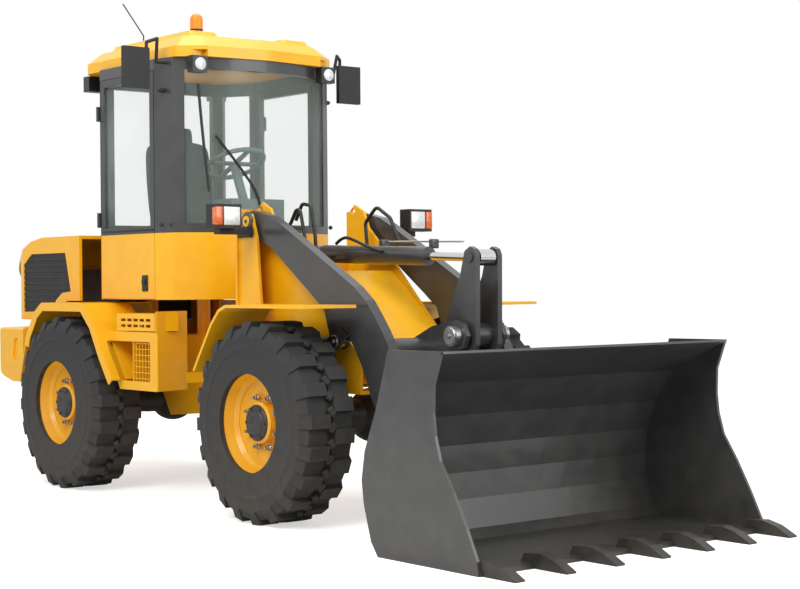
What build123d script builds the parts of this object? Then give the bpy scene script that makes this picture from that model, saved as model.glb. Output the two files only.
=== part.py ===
from build123d import *
import math
import os

os.makedirs("parts", exist_ok=True)

# Wheel loader, all sizes in millimetres.
# X points forward, Y to the machine's left, Z up, with the floor at zero.
# The origin is under the middle of the whole length.

# Main positions
HALF_LENGTH = 2645.0
WHEELBASE = 2080.0
FRONT_AXLE_X = 550.0
REAR_AXLE_X = FRONT_AXLE_X - WHEELBASE
HINGE_X = FRONT_AXLE_X - WHEELBASE / 2
WHEEL_Z = 525.0
WHEEL_Y = 675.0

# Running clearances
PIN_FIT = 0.05

# Wheels
TYRE_R = 525.0
TYRE_HALF = 168.0
RIM_SEAT_R = 254.0
STUD_PCD_R = 137.5
STUD_COUNT = 8
STUD_R = 14.0
HUB_R = 109.0
HUB_OUT = 105.0
SPINDLE_R = 45.0
LUG_COUNT = 20
LUG_BASE_R = 490.0
LUG_ROOT_R = 499.0
LUG_HALF = 3.9
SHOULDER_R = 464.0

# Pivots of the loader linkage, X then Z
BOOM_X = 5.0
BOOM_Z = 1590.0
CRANK_X = 1390.0
CRANK_Z = 975.0
CRANK_TOP_X = 1440.0
CRANK_TOP_Z = 1368.0
CRANK_LOW_X = 1180.0
CRANK_LOW_Z = 590.0
TIP_X = 1430.0
TIP_Z = 365.0
LINK_X = 1650.0
LINK_Z = 565.0
TILT_BASE_X = 90.0
TILT_BASE_Z = 1411.0
LIFT_BASE_X = -160.0
LIFT_BASE_Z = 880.0
LIFT_ROD_X = 760.0
LIFT_ROD_Z = 940.0
PIN_R = 25.0
BIG_PIN_R = 30.0
PIN_HEAD_R = 50.0
PIN_HEAD_T = 40.0

# Boom
ARM_Y = 390.0
ARM_T = 60.0
EAR_Y = 125.0
EAR_T = 28.0
TUBE_X = 1095.0
TUBE_Z = 885.0
TUBE_R = 75.0

# Towers
TOWER_IN_Y = 335.0
TOWER_OUT_Y = 452.0
TOWER_T = 16.0

# Bucket
BUCKET_HALF = 951.0
SIDE_T = 16.0
TOOTH_COUNT = 7
TOOTH_SPAN = 905.0
TOOTH_TIP_X = HALF_LENGTH

# Cab
CAB_SIDE_Y = 595.0
CAB_FLOOR_Z = 1155.0
CAB_BELT_Z = 1545.0
CAB_TOP_Z = 2560.0
CAB_REAR_X = -1640.0
CAB_REAR_Y = 430.0
DOOR_REAR_X = -1380.0
DOOR_FRONT_X = -745.0
A_PILLAR_X = -600.0
A_PILLAR_Y = 562.0
NOSE_X = -430.0
CAB_WALL = 40.0
DOOR_GAP = 6.0
DOOR_T = 38.0
DOOR_HINGE_X = DOOR_REAR_X + 2.0
DOOR_HINGE_Y = CAB_SIDE_Y + 16.0
GLASS_T = 6.0
ROOF_Z = 2560.0
ROOF_HALF = 562.0
ROOF_RIM_T = 62.0
ROOF_CROWN_T = 70.0
ROOF_LOBE_T = 38.0
ROOF_TOP_Z = ROOF_Z + ROOF_RIM_T + ROOF_CROWN_T + ROOF_LOBE_T
BEACON_X = -660.0
BEACON_Y = -350.0
BEACON_R = 38.0

# Hood and rear
HOOD_SIDE_Y = 600.0
HOOD_FRONT_X = -1650.0
HOOD_TOP_Z = 1555.0
HOOD_LOW_Z = 1020.0
HOOD_WALL = 20.0
HOOD_PIVOT_X = -2590.0
HOOD_PIVOT_Z = 1045.0
WEIGHT_TOP_Z = 968.0
HOOD_LUG_Y = 300.0
HOOD_PIN_R = 12.0
WEIGHT_LOW_Z = 620.0
HOOD_NOTCH = 45.0
SLAT_COUNT = 9
SLAT_STEP = 38.0
SLAT_T = 16.0

# Fenders and steps
FENDER_OUT_Y = 800.0
FENDER_IN_Y = 470.0
FENDER_T = 12.0
LIP_DROP = 52.0
LIP_T = 8.0
STEP_OUT_Y = 722.0
STEP_IN_Y = 470.0
STEP_FRONT_X = -528.0
STEP_LOW_Z = 632.0
STEP_TOP_Z = 970.0
STEP_WALL = 6.0


def side_plane(y):
    """Plane across Y whose sketches read X and Z."""
    return Plane(origin=(0, y, 0), x_dir=(1, 0, 0), z_dir=(0, -1, 0))


def cross_pin(x, z):
    """Plane on the centre plane with its origin at a pin."""
    return Plane(origin=(x, 0, z), x_dir=(1, 0, 0), z_dir=(0, -1, 0))


def wheel_plane(x):
    """Plane through an axle, reading outward across Y and up."""
    return Plane(origin=(x, 0, WHEEL_Z), x_dir=(0, 1, 0), z_dir=(1, 0, 0))


def save(part, label, name):
    """Label a finished piece and write its own file."""
    part.label = label
    export_step(part, "parts/" + name + ".step")


def plate(points, radii, y, thick):
    """Return an upright plate with rounded corners, centred on y."""
    with BuildPart() as piece:
        with BuildSketch(side_plane(y)):
            with BuildLine():
                FilletPolyline(*points, radius=radii, close=True)
            make_face()
        extrude(amount=thick / 2, both=True)
    return piece.part


def flat(points, radii, z, thick):
    """Return a level plate with rounded corners, its underside at z."""
    with BuildPart() as piece:
        with BuildSketch(Plane.XY.offset(z)):
            with BuildLine():
                FilletPolyline(*points, radius=radii, close=True)
            make_face()
        extrude(amount=thick)
    return piece.part


def strip(points, bend, thick, y_low, y_high):
    """Return a bent sheet that follows a path in the X and Z plane."""
    with BuildPart() as piece:
        with BuildSketch(side_plane(y_high)):
            with BuildLine():
                FilletPolyline(*points, radius=bend)
                offset(amount=thick, side=Side.RIGHT)
            make_face()
        extrude(amount=y_high - y_low)
    return piece.part


def bent_tube(points, radius, bend):
    """Return a round bar along straight runs with bent corners."""
    with BuildPart() as bar:
        with BuildLine():
            FilletPolyline(*points, radius=bend)
        with BuildSketch(Plane(origin=points[0], z_dir=Vector(*points[1]) - Vector(*points[0]))):
            Circle(radius)
        sweep()
    return bar.part


def hole(x, z, radius, y_low, y_high):
    """Return a round plug across Y, for cutting a bore or making a pin."""
    with BuildPart() as plug:
        with BuildSketch(side_plane(y_high)):
            with Locations((x, z)):
                Circle(radius)
        extrude(amount=y_high - y_low)
    return plug.part


# Steering cylinder beside the centre hinge
STEER_BASE = (-860.0, -150.0)
STEER_ROD = (-330.0, -150.0)
STEER_Z = 760.0
STEER_PIN_R = 15.0
STEER_LEN = STEER_ROD[0] - STEER_BASE[0]

# Chassis of the rear half, with the hinge forks
HINGE_PIN_R = 32.0
CHASSIS_Y = 250.0
with BuildPart() as rear_frame:
    with BuildSketch(side_plane(0)):
        with BuildLine():
            Polyline(
                (-2380, 620), (-2380, 900), (-1250, 940), (-760, 940), (-660, 900), (-660, 480),
                (-1150, 440), (-1310, 690), (-1750, 690), (-1850, 560), (-2250, 560), (-2380, 620),
            )
        make_face()
    extrude(amount=CHASSIS_Y, both=True)
    with BuildSketch(side_plane(0)):
        with BuildLine():
            Polyline((-2360, 640), (-2360, 880), (-1250, 920), (-766, 920), (-680, 886), (-680, 500),
                     (-1140, 462), (-1300, 710), (-1760, 710), (-1862, 582), (-2245, 582), (-2360, 640))
        make_face()
    extrude(amount=CHASSIS_Y - 20, both=True, mode=Mode.SUBTRACT)
    with Locations((-1530, 0, 900)):
        Box(300, 2 * CHASSIS_Y, 40)
    with Locations((-2200, 0, 700)):
        Box(60, 2 * CHASSIS_Y - 20, 150)
    for lug_z in (713.0, 807.0):
        with Locations((STEER_BASE[0], -190, lug_z)):
            Box(100, 100, 12)
    with Locations((STEER_BASE[0], STEER_BASE[1], STEER_Z)):
        Cylinder(STEER_PIN_R, 100)
    with Locations((-670, -140, STEER_Z)):
        Box(90, 180, 110, mode=Mode.SUBTRACT)
    for z_low in (500.0, 596.0, 826.0, 922.0):
        with BuildSketch(Plane.XY.offset(z_low)):
            with BuildLine():
                Polyline((-690, -150), (HINGE_X, -90), (HINGE_X + 90, 0), (HINGE_X, 90), (-690, 150), (-690, -150))
            make_face()
        extrude(amount=24)
    with Locations((HINGE_X, 0, 560)):
        Cylinder(HINGE_PIN_R, 150)
    with Locations((HINGE_X, 0, 886)):
        Cylinder(HINGE_PIN_R, 150)
    for mount_x in (-1450.0, -850.0):
        for mount_y in (-300.0, 300.0):
            with Locations((mount_x, mount_y * 0.65, (CAB_FLOOR_Z + 930) / 2)):
                Cylinder(40, CAB_FLOOR_Z - 930)
    for rail_y in (-215.0, 215.0):
        with Locations((-2000, rail_y, 955)):
            Box(700, 40, 120)
save(rear_frame.part, "rear_frame", "rear_frame")

# Counterweight behind the rear wheels, with the towing jaw and the hood's hinge lugs
HITCH_R = 16.0
HITCH_X = -2590.0
JAW_Z = 810.0
JAW_GAP = 60.0
with BuildPart() as counterweight:
    with BuildSketch(Plane.XY.offset(WEIGHT_LOW_Z)):
        with BuildLine():
            FilletPolyline(
                (-2180, -CHASSIS_Y), (-2180, -725), (-2540, -725), (-HALF_LENGTH, -560), (-HALF_LENGTH, 560),
                (-2540, 725), (-2180, 725), (-2180, CHASSIS_Y), (-2381, CHASSIS_Y), (-2381, -CHASSIS_Y),
                radius=[0, 0, 90, 110, 110, 90, 0, 0, 0, 0], close=True)
        make_face()
    extrude(amount=WEIGHT_TOP_Z - WEIGHT_LOW_Z)
    fillet(counterweight.faces().sort_by(Axis.Z)[-1].edges().filter_by(lambda e: e.center().X < -2200), radius=14)
    with BuildSketch(side_plane(0)):
        with BuildLine():
            FilletPolyline((-2700, 560), (-2700, 900), (-2640, 860), (-2500, 660), (-2250, 600), (-2250, 560),
                           radius=[0, 0, 60, 140, 0, 0], close=True)
        make_face()
    extrude(amount=800, both=True, mode=Mode.SUBTRACT)
    for side in (-1, 1):
        with BuildSketch(side_plane(side * 725)):
            with Locations((-2290, 830)):
                SlotOverall(150, 60, rotation=80)
        extrude(amount=14, both=True, mode=Mode.SUBTRACT)
        with BuildSketch(side_plane(side * 725)):
            with BuildLine():
                FilletPolyline((-2100, 560), (-2100, 860), (-2160, 830), (-2215, 700), (-2235, 560), radius=20,
                               close=True)
            make_face()
        extrude(amount=500, both=True, mode=Mode.SUBTRACT)
    with Locations((HITCH_X, 0, 765)):
        Box(100, 200, 60)
    with Locations((HITCH_X - 20, 0, JAW_Z)):
        Box(130, 160, JAW_GAP, mode=Mode.SUBTRACT)
    with Locations((HITCH_X, 0, 850)):
        Cylinder(HITCH_R, 300, mode=Mode.SUBTRACT)
    for side in (-1, 1):
        add(plate([(HOOD_PIVOT_X - 24, WEIGHT_TOP_Z - 20), (HOOD_PIVOT_X - 24, HOOD_PIVOT_Z + 22),
                   (HOOD_PIVOT_X + 24, HOOD_PIVOT_Z + 22), (HOOD_PIVOT_X + 60, WEIGHT_TOP_Z - 20)],
                  [0, 20, 20, 0], side * HOOD_LUG_Y, 12))
        add(hole(HOOD_PIVOT_X, HOOD_PIVOT_Z, HOOD_PIN_R, side * HOOD_LUG_Y - 30, side * HOOD_LUG_Y + 30))
save(counterweight.part, "counterweight", "counterweight")


def axle_shape(x):
    """Return one axle housing with its two spindles."""
    with BuildPart() as body:
        with Locations((x, 0, WHEEL_Z)):
            Sphere(150)
        with BuildSketch(wheel_plane(x)):
            with BuildLine():
                Polyline((-560, 0), (-560, 95), (-520, 95), (-500, 70), (-180, 90), (180, 90), (500, 70), (520, 95),
                         (560, 95), (560, 0), (-560, 0))
            make_face()
        revolve(axis=Axis((x, 0, WHEEL_Z), (0, 1, 0)))
        with BuildSketch(cross_pin(x, WHEEL_Z)):
            Circle(SPINDLE_R)
        extrude(amount=WHEEL_Y + HUB_OUT - 25, both=True)
    return body.part


REAR_AXLE_BODY = axle_shape(REAR_AXLE_X)
FRONT_AXLE_BODY = axle_shape(FRONT_AXLE_X)


# Rear axle under the frame, held by its two saddles
with BuildPart() as rear_axle:
    add(REAR_AXLE_BODY)
    for pad_x in (REAR_AXLE_X - 130, REAR_AXLE_X + 130):
        with Locations((pad_x, 0, 620)):
            Box(60, 160, 140)
save(rear_axle.part, "rear_axle", "rear_axle")

# Front axle bolted to the front frame
with BuildPart() as front_axle:
    add(FRONT_AXLE_BODY)
    for pad_y in (-300.0, 300.0):
        with Locations((FRONT_AXLE_X, pad_y, 617)):
            Box(160, 90, 94)
save(front_axle.part, "front_axle", "front_axle")

# Engine as one plain block under the hood
with BuildPart() as engine_block:
    with Locations((-2060, 0, 1180)):
        Box(720, 560, 330)
save(engine_block.part, "engine_block", "engine_block")

# Rear fenders with the step boxes, both sides
FENDER_PATH = [(-2085, 640), (-1990, 930), (-1875, 1080), (-1780, 1137), (-1260, 1137), (-1129, 1020), (-1018, 841),
               (-905, 690)]
POCKET = [(-1084, 914), (-600, 914), (-600, 684), (-944, 684)]
with BuildPart() as fender_steps:
    add(strip(FENDER_PATH, 60, FENDER_T, -FENDER_OUT_Y, -FENDER_IN_Y))
    add(strip([(-2010, 868)] + FENDER_PATH[1:], 60, LIP_DROP, -FENDER_OUT_Y, -FENDER_OUT_Y + LIP_T))
    with Locations((-1530, -(FENDER_IN_Y + CHASSIS_Y) / 2 - 1, 1137 - FENDER_T / 2)):
        Box(340, FENDER_IN_Y - CHASSIS_Y + 2, FENDER_T)
    with Locations((-1530, -CHASSIS_Y - 7, 1018)):
        Box(340, 14, 238)
    with BuildSketch(Plane.XY.offset(STEP_LOW_Z)):
        with BuildLine():
            FilletPolyline((-1138, -STEP_IN_Y), (-1138, -STEP_OUT_Y), (STEP_FRONT_X, -STEP_OUT_Y),
                           (STEP_FRONT_X - 75, -STEP_IN_Y), radius=[0, 0, 12, 0], close=True)
        make_face()
        offset(amount=-STEP_WALL, kind=Kind.INTERSECTION, mode=Mode.SUBTRACT)
    extrude(amount=STEP_TOP_Z - STEP_LOW_Z)
    for level in (STEP_LOW_Z, STEP_TOP_Z - STEP_WALL):
        with BuildSketch(Plane.XY.offset(level)):
            with BuildLine():
                Polyline((-1138, -STEP_IN_Y), (-1138, -STEP_OUT_Y + 1), (STEP_FRONT_X - 1, -STEP_OUT_Y + 1),
                         (STEP_FRONT_X - 76, -STEP_IN_Y), (-1138, -STEP_IN_Y))
            make_face()
        extrude(amount=STEP_WALL)
    with BuildSketch(side_plane(-STEP_IN_Y + 100)):
        with BuildLine():
            Polyline((-1400, 500), (-944, 500), (-944, STEP_LOW_Z), (-1138, STEP_TOP_Z - 20), (-1400, STEP_TOP_Z - 20),
                     (-1400, 500))
        make_face()
    extrude(amount=400, mode=Mode.SUBTRACT)
    add(plate([(-1148, STEP_TOP_Z - 2), (-1138, STEP_TOP_Z - 2), (-936, STEP_LOW_Z), (-946, STEP_LOW_Z)], 0.5,
              -(STEP_OUT_Y + STEP_IN_Y) / 2, STEP_OUT_Y - STEP_IN_Y))
    with BuildSketch(side_plane(-STEP_OUT_Y + 20)):
        with BuildLine():
            FilletPolyline(*POCKET, radius=14, close=True)
        make_face()
    extrude(amount=40, mode=Mode.SUBTRACT)
    with Locations((-800, -STEP_OUT_Y + 70, 800)):
        Box(6, 130, STEP_TOP_Z - STEP_LOW_Z - 10)
    for wire_x in range(-770, -600, 34):
        with Locations((wire_x, -STEP_OUT_Y + 12, 799)):
            Box(4, 4, 240)
    for wire_z in range(700, 920, 34):
        with Locations((-700, -STEP_OUT_Y + 14, wire_z)):
            Box(208, 4, 4)
    with BuildSketch(Plane.XY.offset(STEP_TOP_Z)):
        with BuildLine():
            Polyline((STEP_FRONT_X, -STEP_OUT_Y), (STEP_FRONT_X - 75, -STEP_IN_Y), (STEP_FRONT_X - 81, -STEP_IN_Y),
                     (STEP_FRONT_X - 8, -STEP_OUT_Y), (STEP_FRONT_X, -STEP_OUT_Y))
        make_face()
    extrude(amount=120)
    with Locations((-765, -(STEP_OUT_Y - 82), 1026)):
        Box(430, 160, 100)
    with Locations((-765, -(STEP_OUT_Y - 88), 1022)):
        Box(422, 160, 100, mode=Mode.SUBTRACT)
    with BuildSketch(side_plane(-STEP_OUT_Y + 20)):
        with Locations((-765, 1022)):
            with GridLocations(70, 34, 5, 2):
                Rectangle(54, 16)
    extrude(amount=40, mode=Mode.SUBTRACT)
    with Locations((-640, -(CHASSIS_Y + STEP_IN_Y + 8) / 2, 700)):
        Box(80, STEP_IN_Y + 8 - CHASSIS_Y, 60)
    mirror(about=Plane.XZ)
save(fender_steps.part, "fender_steps", "fender_steps")


def cab_plan(inset):
    """Return the cab's outline from above, drawn in by an inset."""
    with BuildSketch() as plan:
        with BuildLine():
            Polyline((A_PILLAR_X - inset * 0.4, A_PILLAR_Y - inset), (DOOR_FRONT_X, CAB_SIDE_Y - inset),
                     (DOOR_REAR_X, CAB_SIDE_Y - inset), (CAB_REAR_X + inset, CAB_REAR_Y - inset * 0.6),
                     (CAB_REAR_X + inset, -CAB_REAR_Y + inset * 0.6), (DOOR_REAR_X, -CAB_SIDE_Y + inset),
                     (DOOR_FRONT_X, -CAB_SIDE_Y + inset), (A_PILLAR_X - inset * 0.4, -A_PILLAR_Y + inset))
            ThreePointArc((A_PILLAR_X - inset * 0.4, -A_PILLAR_Y + inset), (NOSE_X - inset, 0),
                          (A_PILLAR_X - inset * 0.4, A_PILLAR_Y - inset))
        make_face()
    return plan.sketch


def window_blocks(gap):
    """Return blocks through all fixed windows, drawn in by a gap."""
    with BuildPart() as blocks:
        with Locations((NOSE_X, 0, 2042.5)):
            Box(420, 1000 - 2 * gap, 900 - 2 * gap)
        with Locations((CAB_REAR_X, 0, 2050)):
            Box(160, 740 - 2 * gap, 860 - 2 * gap)
        for side in (-1, 1):
            quarter = Plane(origin=(-1510, side * 512.5, 2050), x_dir=(0, 0, 1), z_dir=(-165, side * 260, 0))
            with BuildSketch(quarter):
                Rectangle(860 - 2 * gap, 190 - 2 * gap)
            extrude(amount=50, both=True)
    return blocks.part


WINDOW_OPEN = window_blocks(0)
WINDOW_PANE = window_blocks(0.5)
CAB_OUTER = cab_plan(0)
CAB_INNER = cab_plan(CAB_WALL)
GLASS_OUTER = cab_plan(14)
GLASS_INNER = cab_plan(14 + GLASS_T)
DOOR_MID_X = (DOOR_REAR_X + DOOR_FRONT_X) / 2
DOOR_LEN = DOOR_FRONT_X - DOOR_REAR_X
DOOR_TOP_Z = 2492.0

# Lower cab shell with its floor, the nose and the two door openings
with BuildPart() as cab_shell:
    with BuildSketch(Plane.XY.offset(CAB_FLOOR_Z)):
        add(CAB_OUTER)
    extrude(amount=CAB_BELT_Z - CAB_FLOOR_Z)
    with BuildSketch(Plane.XY.offset(CAB_FLOOR_Z + 40)):
        add(CAB_INNER)
    extrude(amount=CAB_BELT_Z - CAB_FLOOR_Z, mode=Mode.SUBTRACT)
    for door_y in (-CAB_SIDE_Y, CAB_SIDE_Y):
        with Locations((DOOR_MID_X, door_y, (CAB_FLOOR_Z + CAB_BELT_Z) / 2)):
            Box(DOOR_LEN, 2 * CAB_WALL + 2, CAB_BELT_Z - CAB_FLOOR_Z + 10, mode=Mode.SUBTRACT)
save(cab_shell.part, "cab_shell", "cab_shell")

# Upper cab frame of pillars and rings with all the window openings
with BuildPart() as cab_frame:
    with BuildSketch(Plane.XY.offset(CAB_BELT_Z)):
        add(CAB_OUTER)
    extrude(amount=CAB_TOP_Z - CAB_BELT_Z)
    with BuildSketch(Plane.XY.offset(CAB_BELT_Z)):
        add(CAB_INNER)
    extrude(amount=CAB_TOP_Z - CAB_BELT_Z, mode=Mode.SUBTRACT)
    for door_y in (-CAB_SIDE_Y, CAB_SIDE_Y):
        with Locations((DOOR_MID_X, door_y, (CAB_BELT_Z + DOOR_TOP_Z) / 2)):
            Box(DOOR_LEN, 2 * CAB_WALL + 2, DOOR_TOP_Z - CAB_BELT_Z + DOOR_GAP, mode=Mode.SUBTRACT)
    add(WINDOW_OPEN, mode=Mode.SUBTRACT)
save(cab_frame.part, "cab_frame", "cab_frame")

# Fixed glass of the cab
with BuildPart() as cab_glass:
    with BuildSketch(Plane.XY.offset(CAB_BELT_Z + 50)):
        add(GLASS_OUTER)
        add(GLASS_INNER, mode=Mode.SUBTRACT)
    extrude(amount=CAB_TOP_Z - CAB_BELT_Z - 60)
    add(WINDOW_PANE, mode=Mode.INTERSECT)
save(cab_glass.part, "cab_glass", "cab_glass")

# Roof with a thick rim, a sloped crown and two raised lobes
ROOF_EDGE = [(-1600, -ROOF_HALF), (-560, -ROOF_HALF), (-455, -420), (-410, 0), (-455, 420), (-560, ROOF_HALF),
             (-1600, ROOF_HALF), (-1712, 440), (-1712, -440)]
with BuildPart() as cab_roof:
    with BuildSketch(Plane.XY.offset(ROOF_Z)):
        with BuildLine():
            FilletPolyline(*ROOF_EDGE, radius=[70, 60, 60, 400, 60, 60, 70, 70, 70], close=True)
        make_face()
    extrude(amount=ROOF_RIM_T)
    with BuildSketch(Plane.XY.offset(ROOF_Z + ROOF_RIM_T)):
        with BuildLine():
            FilletPolyline(*ROOF_EDGE, radius=[70, 60, 60, 400, 60, 60, 70, 70, 70], close=True)
        make_face()
    extrude(amount=ROOF_CROWN_T, taper=52)
    for side in (-1, 1):
        with BuildSketch(Plane.XY.offset(ROOF_Z + ROOF_RIM_T + ROOF_CROWN_T - 20)):
            with Locations((-1060, side * 330)):
                RectangleRounded(960, 260, 60)
        extrude(amount=ROOF_LOBE_T + 20, taper=35)
    for lamp_y in (-461.0, 461.0):
        with Locations((-440, lamp_y, ROOF_Z + 10)):
            Box(120, 112, 60, mode=Mode.SUBTRACT)
save(cab_roof.part, "cab_roof", "cab_roof")

# Dash, steering column and steering wheel
with BuildPart() as cab_console:
    with Locations((-640, 0, 1400)):
        Box(180, 420, 410)
    with Locations((-640, 0, 1660)):
        Box(190, 380, 180)
    with Locations(Location((-735, 0, 1830), (0, -25, 0))):
        Cylinder(28, 300)
    with Locations(Location((-790, 0, 1975), (0, -25, 0))):
        Torus(180, 14)
        Box(350, 30, 14)
        Box(30, 350, 14)
save(cab_console.part, "cab_console", "cab_console")

# Seat on its base, with its back and head rest
with BuildPart() as seat:
    with BuildSketch(Plane.XY.offset(CAB_FLOOR_Z + 40)):
        with Locations((-1260, 0)):
            RectangleRounded(380, 400, 30)
    extrude(amount=310)
    with BuildSketch(Plane.XY.offset(1500)):
        with Locations((-1230, 0)):
            RectangleRounded(480, 480, 90)
    extrude(amount=125)
    with BuildSketch(Plane(origin=(-1400, 0, 1570), x_dir=(0, 1, 0), z_dir=(-1, 0, -0.12))):
        with Locations((0, -300)):
            RectangleRounded(460, 620, 90)
    extrude(amount=100)
    with BuildSketch(Plane(origin=(-1462, 0, 2170), x_dir=(0, 1, 0), z_dir=(-1, 0, -0.12))):
        RectangleRounded(270, 150, 50)
    extrude(amount=80)
save(seat.part, "seat", "seat")

# Work lamps and the amber beacon on the cab
with BuildPart() as roof_lamps:
    for lamp_y in (-461.0, 461.0):
        with Locations((-480, lamp_y, 2512)):
            Box(60, 100, 96)
        with Locations((-1692, lamp_y, 2512)):
            Box(70, 110, 96)
    with Locations((BEACON_X, BEACON_Y, ROOF_TOP_Z + 35)):
        Cylinder(BEACON_R, 70)
    with Locations((BEACON_X, BEACON_Y, ROOF_TOP_Z + 70)):
        Sphere(BEACON_R)
save(roof_lamps.part, "roof_lamps", "roof_lamps")


def tube_run(points, radius):
    """Return a round bar along straight runs between points."""
    with BuildPart() as bar:
        for first, last in zip(points[:-1], points[1:]):
            start = Vector(*first)
            run = Vector(*last) - start
            with BuildSketch(Plane(origin=start, z_dir=run)):
                Circle(radius)
            extrude(amount=run.length)
        for joint in points[1:-1]:
            with Locations(joint):
                Sphere(radius)
    return bar.part


GRAB_RAIL = tube_run([(-640, 576, 1590), (-640, 612, 1590), (-655, 612, 2370), (-655, 579, 2370)], 13)
MIRROR_ARM = tube_run([(-640, 576, 2530), (-640, 640, 2530), (-610, 650, 2660), (-645, 700, 2640),
                       (-650, 700, 2560)], 10)
AERIAL = tube_run([(-1180, -400, ROOF_TOP_Z), (-1180, -400, 2765), (-1305, -470, 2970)], 4)
# Mirrors on their arms, grab rails, aerial and wiper
with BuildPart() as cab_rails:
    add(GRAB_RAIL)
    add(MIRROR_ARM)
    with Locations((-650, 770, 2490)):
        Box(30, 170, 235)
    mirror(about=Plane.XZ)
    add(AERIAL)
save(cab_rails.part, "cab_rails", "cab_rails")

# Engine hood, a shell open below and at the cab
HOOD_OUTLINE = [(HOOD_FRONT_X, 1146), (HOOD_FRONT_X, HOOD_TOP_Z), (-2150, HOOD_TOP_Z), (-2310, 1530),
                (-2440, 1478), (-2560, 1390), (-2605, 1300), (-2640, HOOD_LOW_Z), (-1950, HOOD_LOW_Z),
                (-1890, 1095), (-1820, 1146)]
HOOD_INNER = [(HOOD_FRONT_X + 1, HOOD_LOW_Z - 1), (HOOD_FRONT_X + 1, HOOD_TOP_Z - HOOD_WALL),
              (-2150, HOOD_TOP_Z - HOOD_WALL), (-2303, 1511), (-2430, 1461), (-2543, 1378), (-2586, 1296),
              (-2618, HOOD_LOW_Z - 1)]
GRILLE_EDGE = [(-1835, 1450), (-1765, 1205), (-1880, 1195), (-1960, 1150), (-2020, 1080), (-2410, 1070),
               (-2410, 1380), (-2300, 1450)]
with BuildPart() as hood:
    with BuildSketch(side_plane(0)):
        Polygon(*HOOD_OUTLINE, align=None)
    extrude(amount=HOOD_SIDE_Y, both=True)
    with BuildSketch(Plane.XY.offset(HOOD_LOW_Z - 1)):
        with BuildLine():
            Polyline((-1600, -700), (-1600, 700), (-2800, 700), (-2800, -700), (-1600, -700))
        make_face()
        with BuildLine():
            Polyline((HOOD_FRONT_X, -HOOD_SIDE_Y), (HOOD_FRONT_X, HOOD_SIDE_Y), (-2420, HOOD_SIDE_Y), (-2560, 560),
                     (-2640, 470), (-2640, -470), (-2560, -560), (-2420, -HOOD_SIDE_Y), (HOOD_FRONT_X, -HOOD_SIDE_Y))
        make_face(mode=Mode.SUBTRACT)
    extrude(amount=600, mode=Mode.SUBTRACT)
    with BuildSketch(side_plane(0)):
        Polygon(*HOOD_INNER, align=None)
    extrude(amount=HOOD_SIDE_Y - HOOD_WALL, both=True, mode=Mode.SUBTRACT)
    for side in (-1, 1):
        with BuildSketch(side_plane(side * HOOD_SIDE_Y)):
            Polygon(*GRILLE_EDGE, align=None)
        extrude(amount=60, both=True, mode=Mode.SUBTRACT)
    for side in (-1, 1):
        with Locations((HOOD_PIVOT_X - 10, side * (HOOD_LUG_Y - 16), HOOD_PIVOT_Z)):
            Box(66, 16, 44)
        with Locations((HOOD_PIVOT_X - 40, side * (HOOD_LUG_Y + 15), HOOD_PIVOT_Z)):
            Box(70, HOOD_NOTCH, 66, mode=Mode.SUBTRACT)
    with BuildSketch(cross_pin(HOOD_PIVOT_X, HOOD_PIVOT_Z)):
        Circle(HOOD_PIN_R + PIN_FIT)
    extrude(amount=HOOD_LUG_Y + 60, both=True, mode=Mode.SUBTRACT)
save(hood.part, "hood", "hood")

# Dark side grilles in the hood, with raised slats
with BuildPart() as hood_grilles:
    for side in (-1, 1):
        with BuildSketch(side_plane(side * (HOOD_SIDE_Y - 14))):
            Polygon(*GRILLE_EDGE, align=None)
        extrude(amount=4, both=True)
        for slat in range(SLAT_COUNT):
            with BuildSketch(side_plane(side * (HOOD_SIDE_Y - 8))):
                with Locations((-2090, 1110 + slat * SLAT_STEP)):
                    Rectangle(700, SLAT_T)
                Polygon(*GRILLE_EDGE, align=None, mode=Mode.INTERSECT)
            extrude(amount=4, both=True)
save(hood_grilles.part, "hood_grilles", "hood_grilles")


def door_side(side, name):
    """Build one door with its frame and lower panel, and its glass."""
    outer_y = side * CAB_SIDE_Y
    mid_y = side * (CAB_SIDE_Y - DOOR_T / 2)
    low_z = CAB_FLOOR_Z + DOOR_GAP
    with BuildPart() as door:
        with Locations((DOOR_MID_X, mid_y, (low_z + DOOR_TOP_Z) / 2)):
            Box(DOOR_LEN - 2 * DOOR_GAP, DOOR_T, DOOR_TOP_Z - low_z)
        with Locations((DOOR_MID_X, mid_y, (CAB_BELT_Z + DOOR_TOP_Z) / 2)):
            Box(DOOR_LEN - 2 * DOOR_GAP - 90, DOOR_T + 2, DOOR_TOP_Z - CAB_BELT_Z - 90, mode=Mode.SUBTRACT)
        for hinge_z in (1640.0, 2290.0):
            with Locations((DOOR_HINGE_X, side * DOOR_HINGE_Y, hinge_z)):
                Cylinder(10, 90)
            with Locations((DOOR_HINGE_X + 30, side * (CAB_SIDE_Y + 4), hinge_z)):
                Box(60, 10, 90)
    save(door.part, name, name)
    with BuildPart() as glass:
        with Locations((DOOR_MID_X, mid_y, (CAB_BELT_Z + DOOR_TOP_Z) / 2)):
            Box(DOOR_LEN - 2 * DOOR_GAP - 90, GLASS_T, DOOR_TOP_Z - CAB_BELT_Z - 90)
    save(glass.part, name + "_glass", name + "_glass")


# Right and left doors with their glass
door_side(-1, "door_right")
door_side(1, "door_left")

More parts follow.
